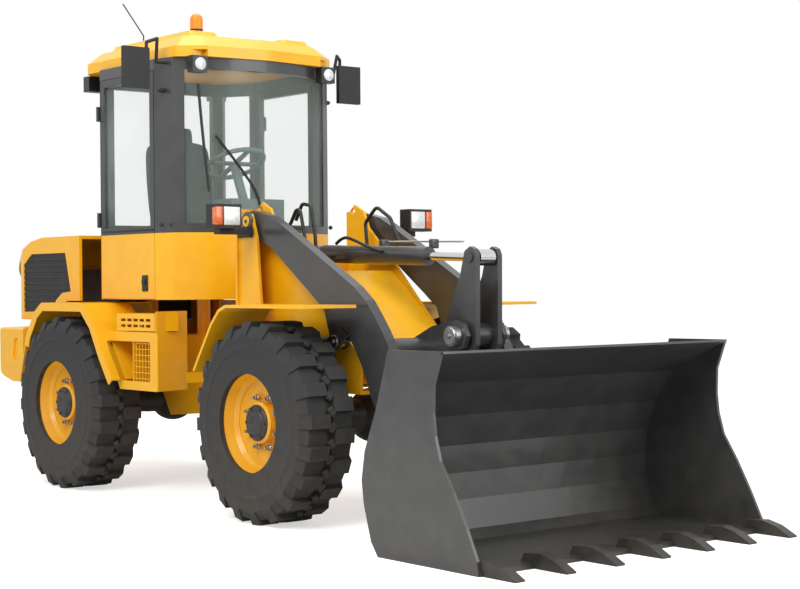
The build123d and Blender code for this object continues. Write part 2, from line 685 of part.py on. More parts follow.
# Front frame with the two towers, the hinge lugs and the fenders
EYE_X = -35.0
EYE_Z = 1662.0
EYE_R = 18.0
with BuildPart() as front_frame:
    for plate_y in (-TOWER_IN_Y + TOWER_T, TOWER_IN_Y):
        with BuildSketch(side_plane(plate_y)):
            with BuildLine():
                Polyline((-80, 664), (-210, 830), (-210, 930), (-96, 1030), (-96, 1640), (-20, 1700), (60, 1660),
                         (110, 1560), (370, 1330), (520, 1180), (740, 960), (860, 860), (860, 664), (-80, 664))
            make_face()
        extrude(amount=TOWER_T)
    for plate_y in (-TOWER_OUT_Y + TOWER_T, TOWER_OUT_Y):
        with BuildSketch(side_plane(plate_y)):
            with BuildLine():
                Polyline((-96, 1040), (-96, 1630), (40, 1630), (90, 1500), (130, 1100), (100, 950), (-120, 832),
                         (-195, 835), (-210, 925), (-180, 960), (-96, 1040))
            make_face()
        extrude(amount=TOWER_T)
    with Locations((-88, 0, 1380)):
        Box(16, 2 * TOWER_OUT_Y + 30, 560)
        Box(20, 2 * TOWER_IN_Y - 2 * TOWER_T, 600, mode=Mode.SUBTRACT)
    with Locations((-88, 0, 900)):
        Box(16, 2 * TOWER_IN_Y, 460)
    with Locations((390, 0, 672)):
        Box(940, 2 * TOWER_IN_Y, 16)
    with Locations((FRONT_AXLE_X, 0, 672)):
        Box(330, 330, 40, mode=Mode.SUBTRACT)
    with BuildSketch(side_plane(0)):
        with BuildLine():
            Polyline((330, 1312), (860, 860), (850, 848), (320, 1300), (330, 1312))
        make_face()
    extrude(amount=TOWER_IN_Y - TOWER_T + 1, both=True)
    for side in (-1, 1):
        with BuildSketch(side_plane(side * 66 + 8)):
            with BuildLine():
                Polyline((-96, 1250), (-96, 1400), (30, 1460), (110, 1460), (135, 1411), (110, 1360), (0, 1250),
                         (-96, 1250))
            make_face()
        extrude(amount=16)
    with Locations((-88, 0, 1250)):
        Box(16, 2 * TOWER_IN_Y, 260)
    for lug_z in (525.0, 851.0):
        with BuildSketch(Plane.XY.offset(lug_z)):
            with BuildLine():
                Polyline((-80, -240), (-360, -110), (HINGE_X, -80), (HINGE_X - 80, 0), (HINGE_X, 80), (-360, 110),
                         (-80, 240), (-80, -240))
            make_face()
        extrude(amount=70)
    with Locations((HINGE_X, 0, 720)):
        Cylinder(HINGE_PIN_R + PIN_FIT, 500, mode=Mode.SUBTRACT)
    with Locations((-88, 0, 600)):
        Box(16, 480, 150)
    for lug_z in (718.0, 802.0):
        with BuildSketch(Plane.XY.offset(lug_z - 8)):
            with BuildLine():
                Polyline((-80, -240), (-330, -190), (-370, -150), (-330, -110), (-80, -60), (-80, -240))
            make_face()
        extrude(amount=16)
    for side in (-1, 1):
        with BuildSketch(side_plane(side * (FENDER_IN_Y + FENDER_OUT_Y) / 2)):
            with BuildLine():
                Polyline((-25, 779), (154, 1035), (230, 1110), (296, 1134), (1000, 1134), (1000, 1118),
                         (300, 1118), (240, 1096), (166, 1024), (-12, 770), (-25, 779))
            make_face()
        extrude(amount=(FENDER_OUT_Y - FENDER_IN_Y) / 2, both=True)
        with Locations((200, side * (TOWER_OUT_Y + 10), 1126)):
            Box(240, 30, 16)
    with BuildSketch(cross_pin(BOOM_X, BOOM_Z)):
        Circle(BIG_PIN_R)
    extrude(amount=TOWER_OUT_Y + 12, both=True)
    with Locations((BOOM_X, 0, BOOM_Z)):
        Box(200, 2 * TOWER_IN_Y - 2 * TOWER_T, 200, mode=Mode.SUBTRACT)
    with BuildSketch(cross_pin(TILT_BASE_X, TILT_BASE_Z)):
        Circle(PIN_R)
    extrude(amount=80, both=True)
    for side in (-1, 1):
        with BuildSketch(side_plane(side * ARM_Y)):
            with Locations((LIFT_BASE_X, LIFT_BASE_Z)):
                Circle(PIN_R)
        extrude(amount=70, both=True)
    with BuildSketch(cross_pin(EYE_X, EYE_Z)):
        Circle(EYE_R)
    extrude(amount=TOWER_IN_Y + 10, both=True, mode=Mode.SUBTRACT)
save(front_frame.part, "front_frame", "front_frame")

# Headlamps on their brackets
with BuildPart() as headlamps:
    for side in (-1, 1):
        with Locations((110, side * 678, 1610)):
            Box(90, 170, 130)
        with Locations((60, side * 580, 1530)):
            Box(60, 220, 30)
        with Locations((-8, side * (TOWER_OUT_Y + 8), 1530)):
            Box(130, 14, 60)
save(headlamps.part, "headlamps", "headlamps")

HOSE_R = 10.0

# Hydraulic hoses looped over the towers, and the steel pipe beside them
with BuildPart() as hoses:
    add(bent_tube([(-20, -200, 1560), (60, -200, 1575), (145, -200, 1693), (212, -200, 1441), (216, -200, 1380)],
                  HOSE_R, 30))
    add(bent_tube([(190, 250, 1400), (169, 250, 1588), (273, 250, 1676), (396, 250, 1608), (470, 250, 1480),
                   (476, 250, 1380)], HOSE_R, 40))
    add(bent_tube([(247, -160, 1380), (240, -160, 1500), (204, -160, 1676), (120, -160, 1690), (60, -160, 1600)],
                  HOSE_R, 30))
    for hose_y in (-200.0, 250.0):
        with Locations((320, hose_y, 1384)):
            Box(400, 60, 12)
    with Locations((0, -185, 1552)):
        Box(160, 110, 16)
save(hoses.part, "hoses", "hoses")

# Boom with two arms, the cross tube and the crank ears
with BuildPart() as boom:
    for side in (-1, 1):
        with BuildSketch(side_plane(side * ARM_Y)):
            with BuildLine():
                Polyline((-60, 1640), (-80, 1560), (-20, 1500), (101, 1472), (186, 1442), (317, 1348), (551, 1186),
                         (780, 1018), (820, 1010), (862, 985), (884, 950), (926, 899), (991, 799), (1054, 660), (1150, 500), (1350, 300), (1430, 270),
                         (1510, 320), (1520, 400), (1440, 520), (1330, 700), (1230, 860), (1171, 960), (1140, 1005),
                         (1076, 1085), (1012, 1156), (914, 1227), (554, 1419), (264, 1571), (160, 1620), (20, 1650),
                         (-60, 1640))
            make_face()
        extrude(amount=ARM_T / 2, both=True)
        with BuildSketch(side_plane(side * EAR_Y)):
            with BuildLine():
                Polyline((1040, 830), (1060, 960), (1200, 1020), (1370, 1053), (1440, 1035), (1468, 975), (1440, 915),
                         (1370, 895), (1180, 830), (1040, 830))
            make_face()
        extrude(amount=EAR_T / 2, both=True)
    with BuildSketch(cross_pin(TUBE_X, TUBE_Z)):
        Circle(TUBE_R)
        Circle(TUBE_R - 12, mode=Mode.SUBTRACT)
    extrude(amount=ARM_Y, both=True)
    with BuildSketch(cross_pin(BOOM_X, BOOM_Z)):
        Circle(BIG_PIN_R + PIN_FIT)
    extrude(amount=ARM_Y + 50, both=True, mode=Mode.SUBTRACT)
    with BuildSketch(cross_pin(TIP_X, TIP_Z)):
        Circle(PIN_R + PIN_FIT)
    extrude(amount=ARM_Y + 50, both=True, mode=Mode.SUBTRACT)
    with BuildSketch(cross_pin(CRANK_X, CRANK_Z)):
        Circle(PIN_R + PIN_FIT)
    extrude(amount=EAR_Y + 50, both=True, mode=Mode.SUBTRACT)
    for side in (-1, 1):
        for lug_y in (side * ARM_Y - 24, side * ARM_Y + 24):
            with BuildSketch(side_plane(lug_y)):
                Polygon((660, 1110), (722, 930), (760, 900), (798, 930), (860, 975), align=None)
            extrude(amount=6, both=True)
            with BuildSketch(side_plane(lug_y)):
                with Locations((LIFT_ROD_X, LIFT_ROD_Z)):
                    Circle(40)
            extrude(amount=6, both=True)
        for head_y in (side * ARM_Y - 34, side * ARM_Y + 34):
            with BuildSketch(side_plane(head_y)):
                with Locations((LIFT_ROD_X, LIFT_ROD_Z)):
                    Circle(PIN_R)
            extrude(amount=5, both=True)
save(boom.part, "boom", "boom")

# Pins at the boom's tip
with BuildPart() as bucket_pins:
    for side in (-1, 1):
        with BuildSketch(side_plane(side * ARM_Y)):
            with Locations((TIP_X, TIP_Z)):
                Circle(PIN_R)
        extrude(amount=68, both=True)
save(bucket_pins.part, "bucket_pins", "bucket_pins")

# Bucket with its shell, side plates, rear ears and cutting edge
LINK_EAR_Y = 48.0
SHELL_OUT = [(2445, 0), (1760, 0), (1715, 60), (1672, 200), (1660, 330), (1678, 470), (1740, 620), (1870, 790),
             (2211, 945)]
SHELL_IN = [(2216, 934), (1877, 780), (1750, 614), (1690, 466), (1672, 331), (1684, 204), (1726, 67), (1768, 22),
            (2445, 22)]
with BuildPart() as bucket:
    with BuildSketch(side_plane(0)):
        Polygon(*(SHELL_OUT + SHELL_IN), align=None)
    extrude(amount=BUCKET_HALF - SIDE_T / 2, both=True)
    for side in (-1, 1):
        with BuildSketch(side_plane(side * (BUCKET_HALF - SIDE_T / 2))):
            Polygon((1760, 0), (1712, 63), (1660, 231), (1646, 343), (1669, 474), (1750, 660), (1812, 842),
                    (1841, 943), (2211, 945), (2154, 797), (2150, 675), (2162, 575), (2194, 470), (2279, 342),
                    (2362, 196), (2429, 63), (2440, 0), align=None)
        extrude(amount=SIDE_T / 2, both=True)
    for ear_y in (-ARM_Y - 50, -ARM_Y + 50, ARM_Y - 50, ARM_Y + 50):
        with BuildSketch(side_plane(ear_y)):
            Polygon((1370, 365), (1390, 320), (1430, 303), (1560, 250), (1690, 140), (1680, 200), (1668, 300),
                    (1668, 340), (1684, 470), (1700, 520), (1600, 480), (1450, 425), (1390, 412), align=None)
        extrude(amount=10, both=True)
    for ear_y in (-LINK_EAR_Y, LINK_EAR_Y):
        with BuildSketch(side_plane(ear_y)):
            Polygon((1600, 565), (1612, 525), (1668, 360), (1684, 470), (1745, 620), (1790, 685), (1700, 640),
                    (1650, 615), (1612, 602), align=None)
        extrude(amount=9, both=True)
    with BuildSketch(cross_pin(LINK_X, LINK_Z)):
        Circle(PIN_R + PIN_FIT)
    extrude(amount=LINK_EAR_Y + 30, both=True, mode=Mode.SUBTRACT)
    with BuildSketch(cross_pin(TIP_X, TIP_Z)):
        Circle(PIN_R + PIN_FIT)
    extrude(amount=ARM_Y + 120, both=True, mode=Mode.SUBTRACT)
save(bucket.part, "bucket", "bucket")

# Bucket teeth on the cutting edge
with BuildPart() as bucket_teeth:
    for index in range(TOOTH_COUNT):
        tooth_y = -TOOTH_SPAN + 2 * TOOTH_SPAN * index / (TOOTH_COUNT - 1)
        with BuildSketch(side_plane(tooth_y)):
            Polygon((2360, 22), (2380, 62), (2480, 69), (2560, 50), (TOOTH_TIP_X, 8), (TOOTH_TIP_X, 0), (2446, 0),
                    (2446, 22), align=None)
        extrude(amount=28, both=True)
save(bucket_teeth.part, "bucket_teeth", "bucket_teeth")

# Bellcrank of two plates on its pivot
PLATE_Y = 75.0
PLATE_T = 30.0
with BuildPart() as bellcrank_pin:
    with BuildSketch(cross_pin(CRANK_X, CRANK_Z)):
        Circle(PIN_R)
    extrude(amount=EAR_Y + 24, both=True)
    for head_y in (-EAR_Y - EAR_T / 2 - 2 - PIN_HEAD_T / 2, EAR_Y + EAR_T / 2 + 2 + PIN_HEAD_T / 2):
        with BuildSketch(side_plane(head_y)):
            with Locations((CRANK_X, CRANK_Z)):
                Circle(PIN_HEAD_R)
        extrude(amount=PIN_HEAD_T / 2, both=True)
save(bellcrank_pin.part, "bellcrank_pin", "bellcrank_pin")

# Pin that holds the tilt link to the bucket
with BuildPart() as link_pin:
    with BuildSketch(cross_pin(LINK_X, LINK_Z)):
        Circle(PIN_R)
    extrude(amount=LINK_EAR_Y + 16, both=True)
    for head_y in (-LINK_EAR_Y - 33, LINK_EAR_Y + 33):
        with BuildSketch(side_plane(head_y)):
            with Locations((LINK_X, LINK_Z)):
                Circle(PIN_HEAD_R)
        extrude(amount=PIN_HEAD_T / 2, both=True)
save(link_pin.part, "link_pin", "link_pin")

# Bellcrank plates joined by a boss
with BuildPart() as bellcrank:
    for side in (-1, 1):
        with BuildSketch(side_plane(side * PLATE_Y)):
            with BuildLine():
                Polyline((1400, 1400), (1364, 1273), (1293, 1142), (1262, 1040), (1230, 900), (1130, 640),
                         (1130, 560), (1180, 535), (1240, 560), (1340, 720), (1440, 860), (1480, 930), (1484, 1380),
                         (1470, 1410), (1440, 1423), (1400, 1400))
            make_face()
        extrude(amount=PLATE_T / 2, both=True)
    with BuildSketch(cross_pin(CRANK_X, CRANK_Z)):
        Circle(60)
    extrude(amount=PLATE_Y, both=True)
    with BuildSketch(cross_pin(CRANK_X, CRANK_Z)):
        Circle(PIN_R + PIN_FIT)
    extrude(amount=PLATE_Y + 40, both=True, mode=Mode.SUBTRACT)
    for side in (-1, 1):
        with BuildSketch(side_plane(side * (PLATE_Y + PLATE_T / 2 + 2))):
            with Locations((CRANK_TOP_X, CRANK_TOP_Z)):
                Circle(PIN_R)
        extrude(amount=7, both=True)
        with BuildSketch(side_plane(side * (PLATE_Y + PLATE_T / 2 + 2))):
            with Locations((CRANK_LOW_X, CRANK_LOW_Z)):
                Circle(PIN_R)
        extrude(amount=7, both=True)
save(bellcrank.part, "bellcrank", "bellcrank")


LINK_DX = LINK_X - CRANK_LOW_X
LINK_DZ = LINK_Z - CRANK_LOW_Z
# Link from the crank's foot to the coupler
with BuildPart() as tilt_link:
    with BuildSketch(cross_pin(CRANK_LOW_X, CRANK_LOW_Z)):
        Circle(52)
        with Locations((LINK_DX, LINK_DZ)):
            Circle(45)
        with Locations((LINK_DX / 2, LINK_DZ / 2)):
            Rectangle(math.hypot(LINK_DX, LINK_DZ), 70, rotation=math.degrees(math.atan2(LINK_DZ, LINK_DX)))
    extrude(amount=30, both=True)
    with BuildSketch(cross_pin(LINK_X, LINK_Z)):
        Circle(PIN_R + PIN_FIT)
    extrude(amount=60, both=True, mode=Mode.SUBTRACT)
save(tilt_link.part, "tilt_link", "tilt_link")


def along(x_a, z_a, x_b, z_b, y, start):
    """Plane square to a cylinder's line, at a distance from its base pin."""
    length = math.hypot(x_b - x_a, z_b - z_a)
    unit_x = (x_b - x_a) / length
    unit_z = (z_b - z_a) / length
    return Plane(origin=(x_a + unit_x * start, y, z_a + unit_z * start), x_dir=(0, 1, 0), z_dir=(unit_x, 0, unit_z))


TILT_LEN = math.hypot(CRANK_TOP_X - TILT_BASE_X, CRANK_TOP_Z - TILT_BASE_Z)
TILT_R = 50.0
TILT_ROD_R = 22.0
TILT_BARREL = 930.0
TILT_LINE = (TILT_BASE_X, TILT_BASE_Z, CRANK_TOP_X, CRANK_TOP_Z)

# Barrel of the tilt cylinder
with BuildPart() as tilt_barrel:
    with BuildSketch(cross_pin(TILT_BASE_X, TILT_BASE_Z)):
        Circle(45)
    extrude(amount=52, both=True)
    with BuildSketch(along(*TILT_LINE, 0, 30)):
        Circle(TILT_R)
    extrude(amount=TILT_BARREL - 30)
    with BuildSketch(along(*TILT_LINE, 0, 55)):
        Circle(TILT_R - 8)
    extrude(amount=TILT_BARREL - 55 - 60, mode=Mode.SUBTRACT)
    with BuildSketch(along(*TILT_LINE, 0, 100)):
        Circle(TILT_ROD_R + PIN_FIT)
    extrude(amount=TILT_BARREL, mode=Mode.SUBTRACT)
    with BuildSketch(cross_pin(TILT_BASE_X, TILT_BASE_Z)):
        Circle(PIN_R + PIN_FIT)
    extrude(amount=60, both=True, mode=Mode.SUBTRACT)
save(tilt_barrel.part, "tilt_barrel", "tilt_barrel")

# Rod of the tilt cylinder
with BuildPart() as tilt_rod:
    with BuildSketch(along(*TILT_LINE, 0, TILT_BARREL - 330)):
        Circle(TILT_ROD_R)
    extrude(amount=TILT_LEN - TILT_BARREL + 330 - 20)
    with BuildSketch(cross_pin(CRANK_TOP_X, CRANK_TOP_Z)):
        Circle(42)
    extrude(amount=50, both=True)
save(tilt_rod.part, "tilt_rod", "tilt_rod")

LIFT_LEN = math.hypot(LIFT_ROD_X - LIFT_BASE_X, LIFT_ROD_Z - LIFT_BASE_Z)
LIFT_R = 36.0
LIFT_ROD_R = 18.0
LIFT_BARREL = 855.0
LIFT_LINE = (LIFT_BASE_X, LIFT_BASE_Z, LIFT_ROD_X, LIFT_ROD_Z)

# Barrels of the two lift cylinders, which turn together
with BuildPart() as lift_barrels:
    for side in (-1, 1):
        with BuildSketch(side_plane(side * ARM_Y)):
            with Locations((LIFT_BASE_X, LIFT_BASE_Z)):
                Circle(40)
        extrude(amount=30, both=True)
        with BuildSketch(along(*LIFT_LINE, side * ARM_Y, 30)):
            Circle(LIFT_R)
        extrude(amount=LIFT_BARREL - 30)
        with BuildSketch(along(*LIFT_LINE, side * ARM_Y, 60)):
            Circle(LIFT_R - 8)
        extrude(amount=LIFT_BARREL - 60 - 50, mode=Mode.SUBTRACT)
        with BuildSketch(along(*LIFT_LINE, side * ARM_Y, 100)):
            Circle(LIFT_ROD_R + PIN_FIT)
        extrude(amount=LIFT_BARREL, mode=Mode.SUBTRACT)
        with BuildSketch(side_plane(side * ARM_Y)):
            with Locations((LIFT_BASE_X, LIFT_BASE_Z)):
                Circle(PIN_R + PIN_FIT)
        extrude(amount=60, both=True, mode=Mode.SUBTRACT)
save(lift_barrels.part, "lift_barrels", "lift_barrels")

# Rods of the two lift cylinders
with BuildPart() as lift_rods:
    for side in (-1, 1):
        with BuildSketch(along(*LIFT_LINE, side * ARM_Y, 62)):
            Circle(LIFT_ROD_R)
        extrude(amount=LIFT_LEN - 62 - 42)
        with BuildSketch(along(*LIFT_LINE, side * ARM_Y, LIFT_LEN - 60)):
            Rectangle(32, 40)
        extrude(amount=50)
        with BuildSketch(side_plane(side * ARM_Y)):
            with Locations((LIFT_ROD_X, LIFT_ROD_Z)):
                Circle(34)
        extrude(amount=16, both=True)
save(lift_rods.part, "lift_rods", "lift_rods")

# Barrel of the steering cylinder
with BuildPart() as steering_barrel:
    with Locations((STEER_BASE[0], STEER_BASE[1], STEER_Z)):
        Cylinder(32, 50)
    with BuildSketch(Plane(origin=(STEER_BASE[0] + 25, STEER_BASE[1], STEER_Z), x_dir=(0, 1, 0), z_dir=(1, 0, 0))):
        Circle(34)
    extrude(amount=340)
    with BuildSketch(Plane(origin=(STEER_BASE[0] + 40, STEER_BASE[1], STEER_Z), x_dir=(0, 1, 0), z_dir=(1, 0, 0))):
        Circle(28)
    extrude(amount=300, mode=Mode.SUBTRACT)
    with BuildSketch(Plane(origin=(STEER_BASE[0] + 100, STEER_BASE[1], STEER_Z), x_dir=(0, 1, 0), z_dir=(1, 0, 0))):
        Circle(15 + PIN_FIT)
    extrude(amount=300, mode=Mode.SUBTRACT)
    with Locations((STEER_BASE[0], STEER_BASE[1], STEER_Z)):
        Cylinder(STEER_PIN_R + PIN_FIT, 80, mode=Mode.SUBTRACT)
save(steering_barrel.part, "steering_barrel", "steering_barrel")

# Rod of the steering cylinder
with BuildPart() as steering_rod:
    with BuildSketch(Plane(origin=(STEER_BASE[0] + 190, STEER_BASE[1], STEER_Z), x_dir=(0, 1, 0), z_dir=(1, 0, 0))):
        Circle(15)
    extrude(amount=STEER_LEN - 190)
    with Locations((STEER_ROD[0], STEER_ROD[1], STEER_Z)):
        Cylinder(30, 44)
save(steering_rod.part, "steering_rod", "steering_rod")


def tread_section(y, top_r, root_r, shift_deg):
    """Return the toothed outline of one tread row across the tyre's axle."""
    points = []
    for lug in range(LUG_COUNT):
        middle = 360.0 / LUG_COUNT * lug + shift_deg - 90
        for angle, reach in ((-LUG_HALF, root_r), (-LUG_HALF, top_r), (LUG_HALF, top_r), (LUG_HALF, root_r)):
            turn = math.radians(middle + angle)
            points.append((reach * math.cos(turn), reach * math.sin(turn)))
    with BuildSketch(Plane(origin=(0, y, 0), x_dir=(1, 0, 0), z_dir=(0, -1, 0))) as section:
        Polygon(*points, align=None)
    return section.sketch


def tread_row(y_in, y_out, shift_deg):
    """Return one row of straight lugs on a disc between two distances from the tyre's middle."""
    with BuildPart() as row:
        extrude(tread_section(y_in, TYRE_R, LUG_ROOT_R, shift_deg), amount=-(y_out - y_in))
    return row.part


def tyre_body():
    """Return one tyre at the origin, hollow, with two rows of slanted lugs."""
    with BuildPart() as body:
        with BuildSketch(Plane.YZ):
            Polygon((-134, 0), (-134, RIM_SEAT_R + 2), (-142, 300), (-TYRE_HALF, 385), (-158, 450),
                    (-118, LUG_BASE_R), (118, LUG_BASE_R), (158, 450), (TYRE_HALF, 385), (142, 300),
                    (134, RIM_SEAT_R + 2), (134, 0), align=None)
        revolve(axis=Axis.Y)
        for side in (-1, 1):
            stagger = 90.0 / LUG_COUNT * (1 + side) + LUG_HALF
            add(tread_row(side * 16, side * 134, stagger))
            outer = tread_section(side * 133.9, TYRE_R, LUG_ROOT_R, stagger)
            shoulder = tread_section(side * 164, SHOULDER_R, SHOULDER_R - 14, stagger)
            loft(sections=[outer, shoulder], ruled=True)
        with BuildSketch(Plane.YZ):
            Polygon((-170, 0), (-170, RIM_SEAT_R + 2), (-114, RIM_SEAT_R + 2), (-142, 400), (-118, 474),
                    (118, 474), (142, 400), (114, RIM_SEAT_R + 2), (170, RIM_SEAT_R + 2), (170, 0), align=None)
        revolve(axis=Axis.Y, mode=Mode.SUBTRACT)
    return body.part


def rim_body():
    """Return one rim with its disc, studs and hub at the origin, its outer side towards minus Y."""
    with BuildPart() as body:
        with BuildSketch(Plane.YZ):
            Polygon((150, 279), (138, 279), (136, RIM_SEAT_R + 2), (60, 250), (40, 232), (-60, 232), (-80, 250),
                    (-136, RIM_SEAT_R + 2), (-138, 279), (-150, 279), (-150, 262), (-84, 240), (-62, 222),
                    (-56, 222), (-40, 120), (-24, 120), (-40, 222), (42, 222), (64, 240), (150, 262), align=None)
        revolve(axis=Axis.Y)
        with BuildSketch(Plane.YZ):
            Polygon((-HUB_OUT, SPINDLE_R + PIN_FIT), (-HUB_OUT, 80), (-90, HUB_R), (-41, HUB_R), (-41, 165),
                    (-24, 165), (-24, HUB_R), (100, HUB_R), (112, 90), (112, SPINDLE_R + PIN_FIT), align=None)
        revolve(axis=Axis.Y)
        with BuildSketch(Plane(origin=(0, -40, 0), x_dir=(1, 0, 0), z_dir=(0, -1, 0))):
            with PolarLocations(STUD_PCD_R, STUD_COUNT, start_angle=22.5):
                RegularPolygon(STUD_R, 6)
        extrude(amount=20)
    return body.part


TYRE_BODY = tyre_body()
RIM_BODY = rim_body()
TYRE_MIRROR = TYRE_BODY.mirror(Plane.XZ)
RIM_MIRROR = RIM_BODY.mirror(Plane.XZ)


def wheel_at(x, side, name):
    """Save one wheel's tyre and rim at its own place."""
    spot = Location((x, side * WHEEL_Y, WHEEL_Z))
    with BuildPart() as tyre:
        add((TYRE_BODY if side < 0 else TYRE_MIRROR).moved(spot))
    save(tyre.part, name + "_tyre", name + "_tyre")
    with BuildPart() as rim:
        add((RIM_BODY if side < 0 else RIM_MIRROR).moved(spot))
    save(rim.part, name + "_rim", name + "_rim")


# Four wheels
wheel_at(FRONT_AXLE_X, -1, "wheel_fr")
wheel_at(FRONT_AXLE_X, 1, "wheel_fl")
wheel_at(REAR_AXLE_X, -1, "wheel_rr")
wheel_at(REAR_AXLE_X, 1, "wheel_rl")
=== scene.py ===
"""Looks of a compact wheel loader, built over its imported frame."""
from __future__ import annotations

import logging
import math
from dataclasses import dataclass, field
from enum import Enum
from typing import Any, Iterable, Sequence

import bmesh
import bpy
from mathutils import Matrix, Vector

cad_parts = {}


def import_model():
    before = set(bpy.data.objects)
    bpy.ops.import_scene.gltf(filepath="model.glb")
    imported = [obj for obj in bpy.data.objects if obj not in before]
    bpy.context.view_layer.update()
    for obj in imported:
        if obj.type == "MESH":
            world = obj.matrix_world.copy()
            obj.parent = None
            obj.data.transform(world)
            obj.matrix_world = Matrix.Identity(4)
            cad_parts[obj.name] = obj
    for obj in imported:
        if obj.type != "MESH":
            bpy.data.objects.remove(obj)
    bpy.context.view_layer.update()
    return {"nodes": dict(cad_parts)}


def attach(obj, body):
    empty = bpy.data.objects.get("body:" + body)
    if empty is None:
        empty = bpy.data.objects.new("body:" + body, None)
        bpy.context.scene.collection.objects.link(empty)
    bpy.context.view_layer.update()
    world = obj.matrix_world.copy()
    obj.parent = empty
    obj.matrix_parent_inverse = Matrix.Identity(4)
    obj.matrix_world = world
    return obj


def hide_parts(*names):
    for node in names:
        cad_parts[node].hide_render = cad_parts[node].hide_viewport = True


LOG = logging.getLogger("loader")
Point = tuple[float, float, float]
Profile = tuple[tuple[float, float], ...]

SMOOTH_DEG = 35
NUT_COUNT = 8
CAP_BOLT_COUNT = 6
BLOCK_COUNT = 40
BLOCK_SIZE: Point = (0.045, 0.034, 0.022)
BLOCK_TURN_DEG = 32
BLOCK_RADIUS = 0.512
CUSHION_CUTS = 6
FLOOR_HALF = 60.0
FLOOR_LIFT = 0.58
SKY_DIFFUSE = 0.55

# Distance outwards and radius of each point, in metres.
NUT_PROFILE: Profile = ((0.058, 0.0), (0.058, 0.0165), (0.062, 0.0165), (0.066, 0.012), (0.076, 0.0115),
                        (0.078, 0.009), (0.092, 0.009), (0.094, 0.0))
HUB_PROFILE: Profile = ((0.098, 0.0), (0.098, 0.094), (0.104, 0.094), (0.110, 0.088), (0.112, 0.070),
                        (0.118, 0.064), (0.122, 0.030), (0.118, 0.026), (0.118, 0.0))
CAP_BOLT_PROFILE: Profile = ((0.108, 0.0), (0.108, 0.008), (0.116, 0.008), (0.118, 0.0))
WORK_LENS_PROFILE: Profile = ((0.0, 0.0), (0.0, 0.036), (0.006, 0.036), (0.010, 0.030), (0.013, 0.0))
# Radius, distance outwards and half width of each rib on the tyre's wall.
TYRE_RIBS: tuple[Point, ...] = ((0.300, 0.143, 0.005), (0.325, 0.151, 0.004), (0.345, 0.157, 0.004))


class Side(Enum):
    """Side of the machine, as the sign of Y."""

    RIGHT = -1
    LEFT = 1


class Coat(Enum):
    """How a finish changes along the height of the part it is on."""

    PLAIN = "plain"
    SPLIT = "split"


def linear(hex_code: str) -> tuple[float, float, float, float]:
    """Turn an sRGB hex colour into Blender's linear colour.

    Args:
        hex_code: Six digits after a hash.

    Returns:
        Red, green, blue and alpha.
    """
    values = [int(hex_code[i:i + 2], 16) / 255 for i in (1, 3, 5)]
    red, green, blue = (v / 12.92 if v <= 0.04045 else ((v + 0.055) / 1.055) ** 2.4 for v in values)
    return red, green, blue, 1.0


def add_node(tree: bpy.types.NodeTree, kind: str, settings: dict[str, Any],
             inputs: dict[Any, Any]) -> bpy.types.Node:
    """Add a node with its settings, and set or link its inputs.

    Args:
        tree: Node tree to add to.
        kind: Blender's type name of the node.
        settings: Attributes of the node.
        inputs: Values or output sockets by input name or index.

    Returns:
        The new node.
    """
    node = tree.nodes.new(kind)
    for name, value in settings.items():
        setattr(node, name, value)
    for name, value in inputs.items():
        if isinstance(value, bpy.types.NodeSocket):
            tree.links.new(value, node.inputs[name])
        else:
            node.inputs[name].default_value = value
    return node


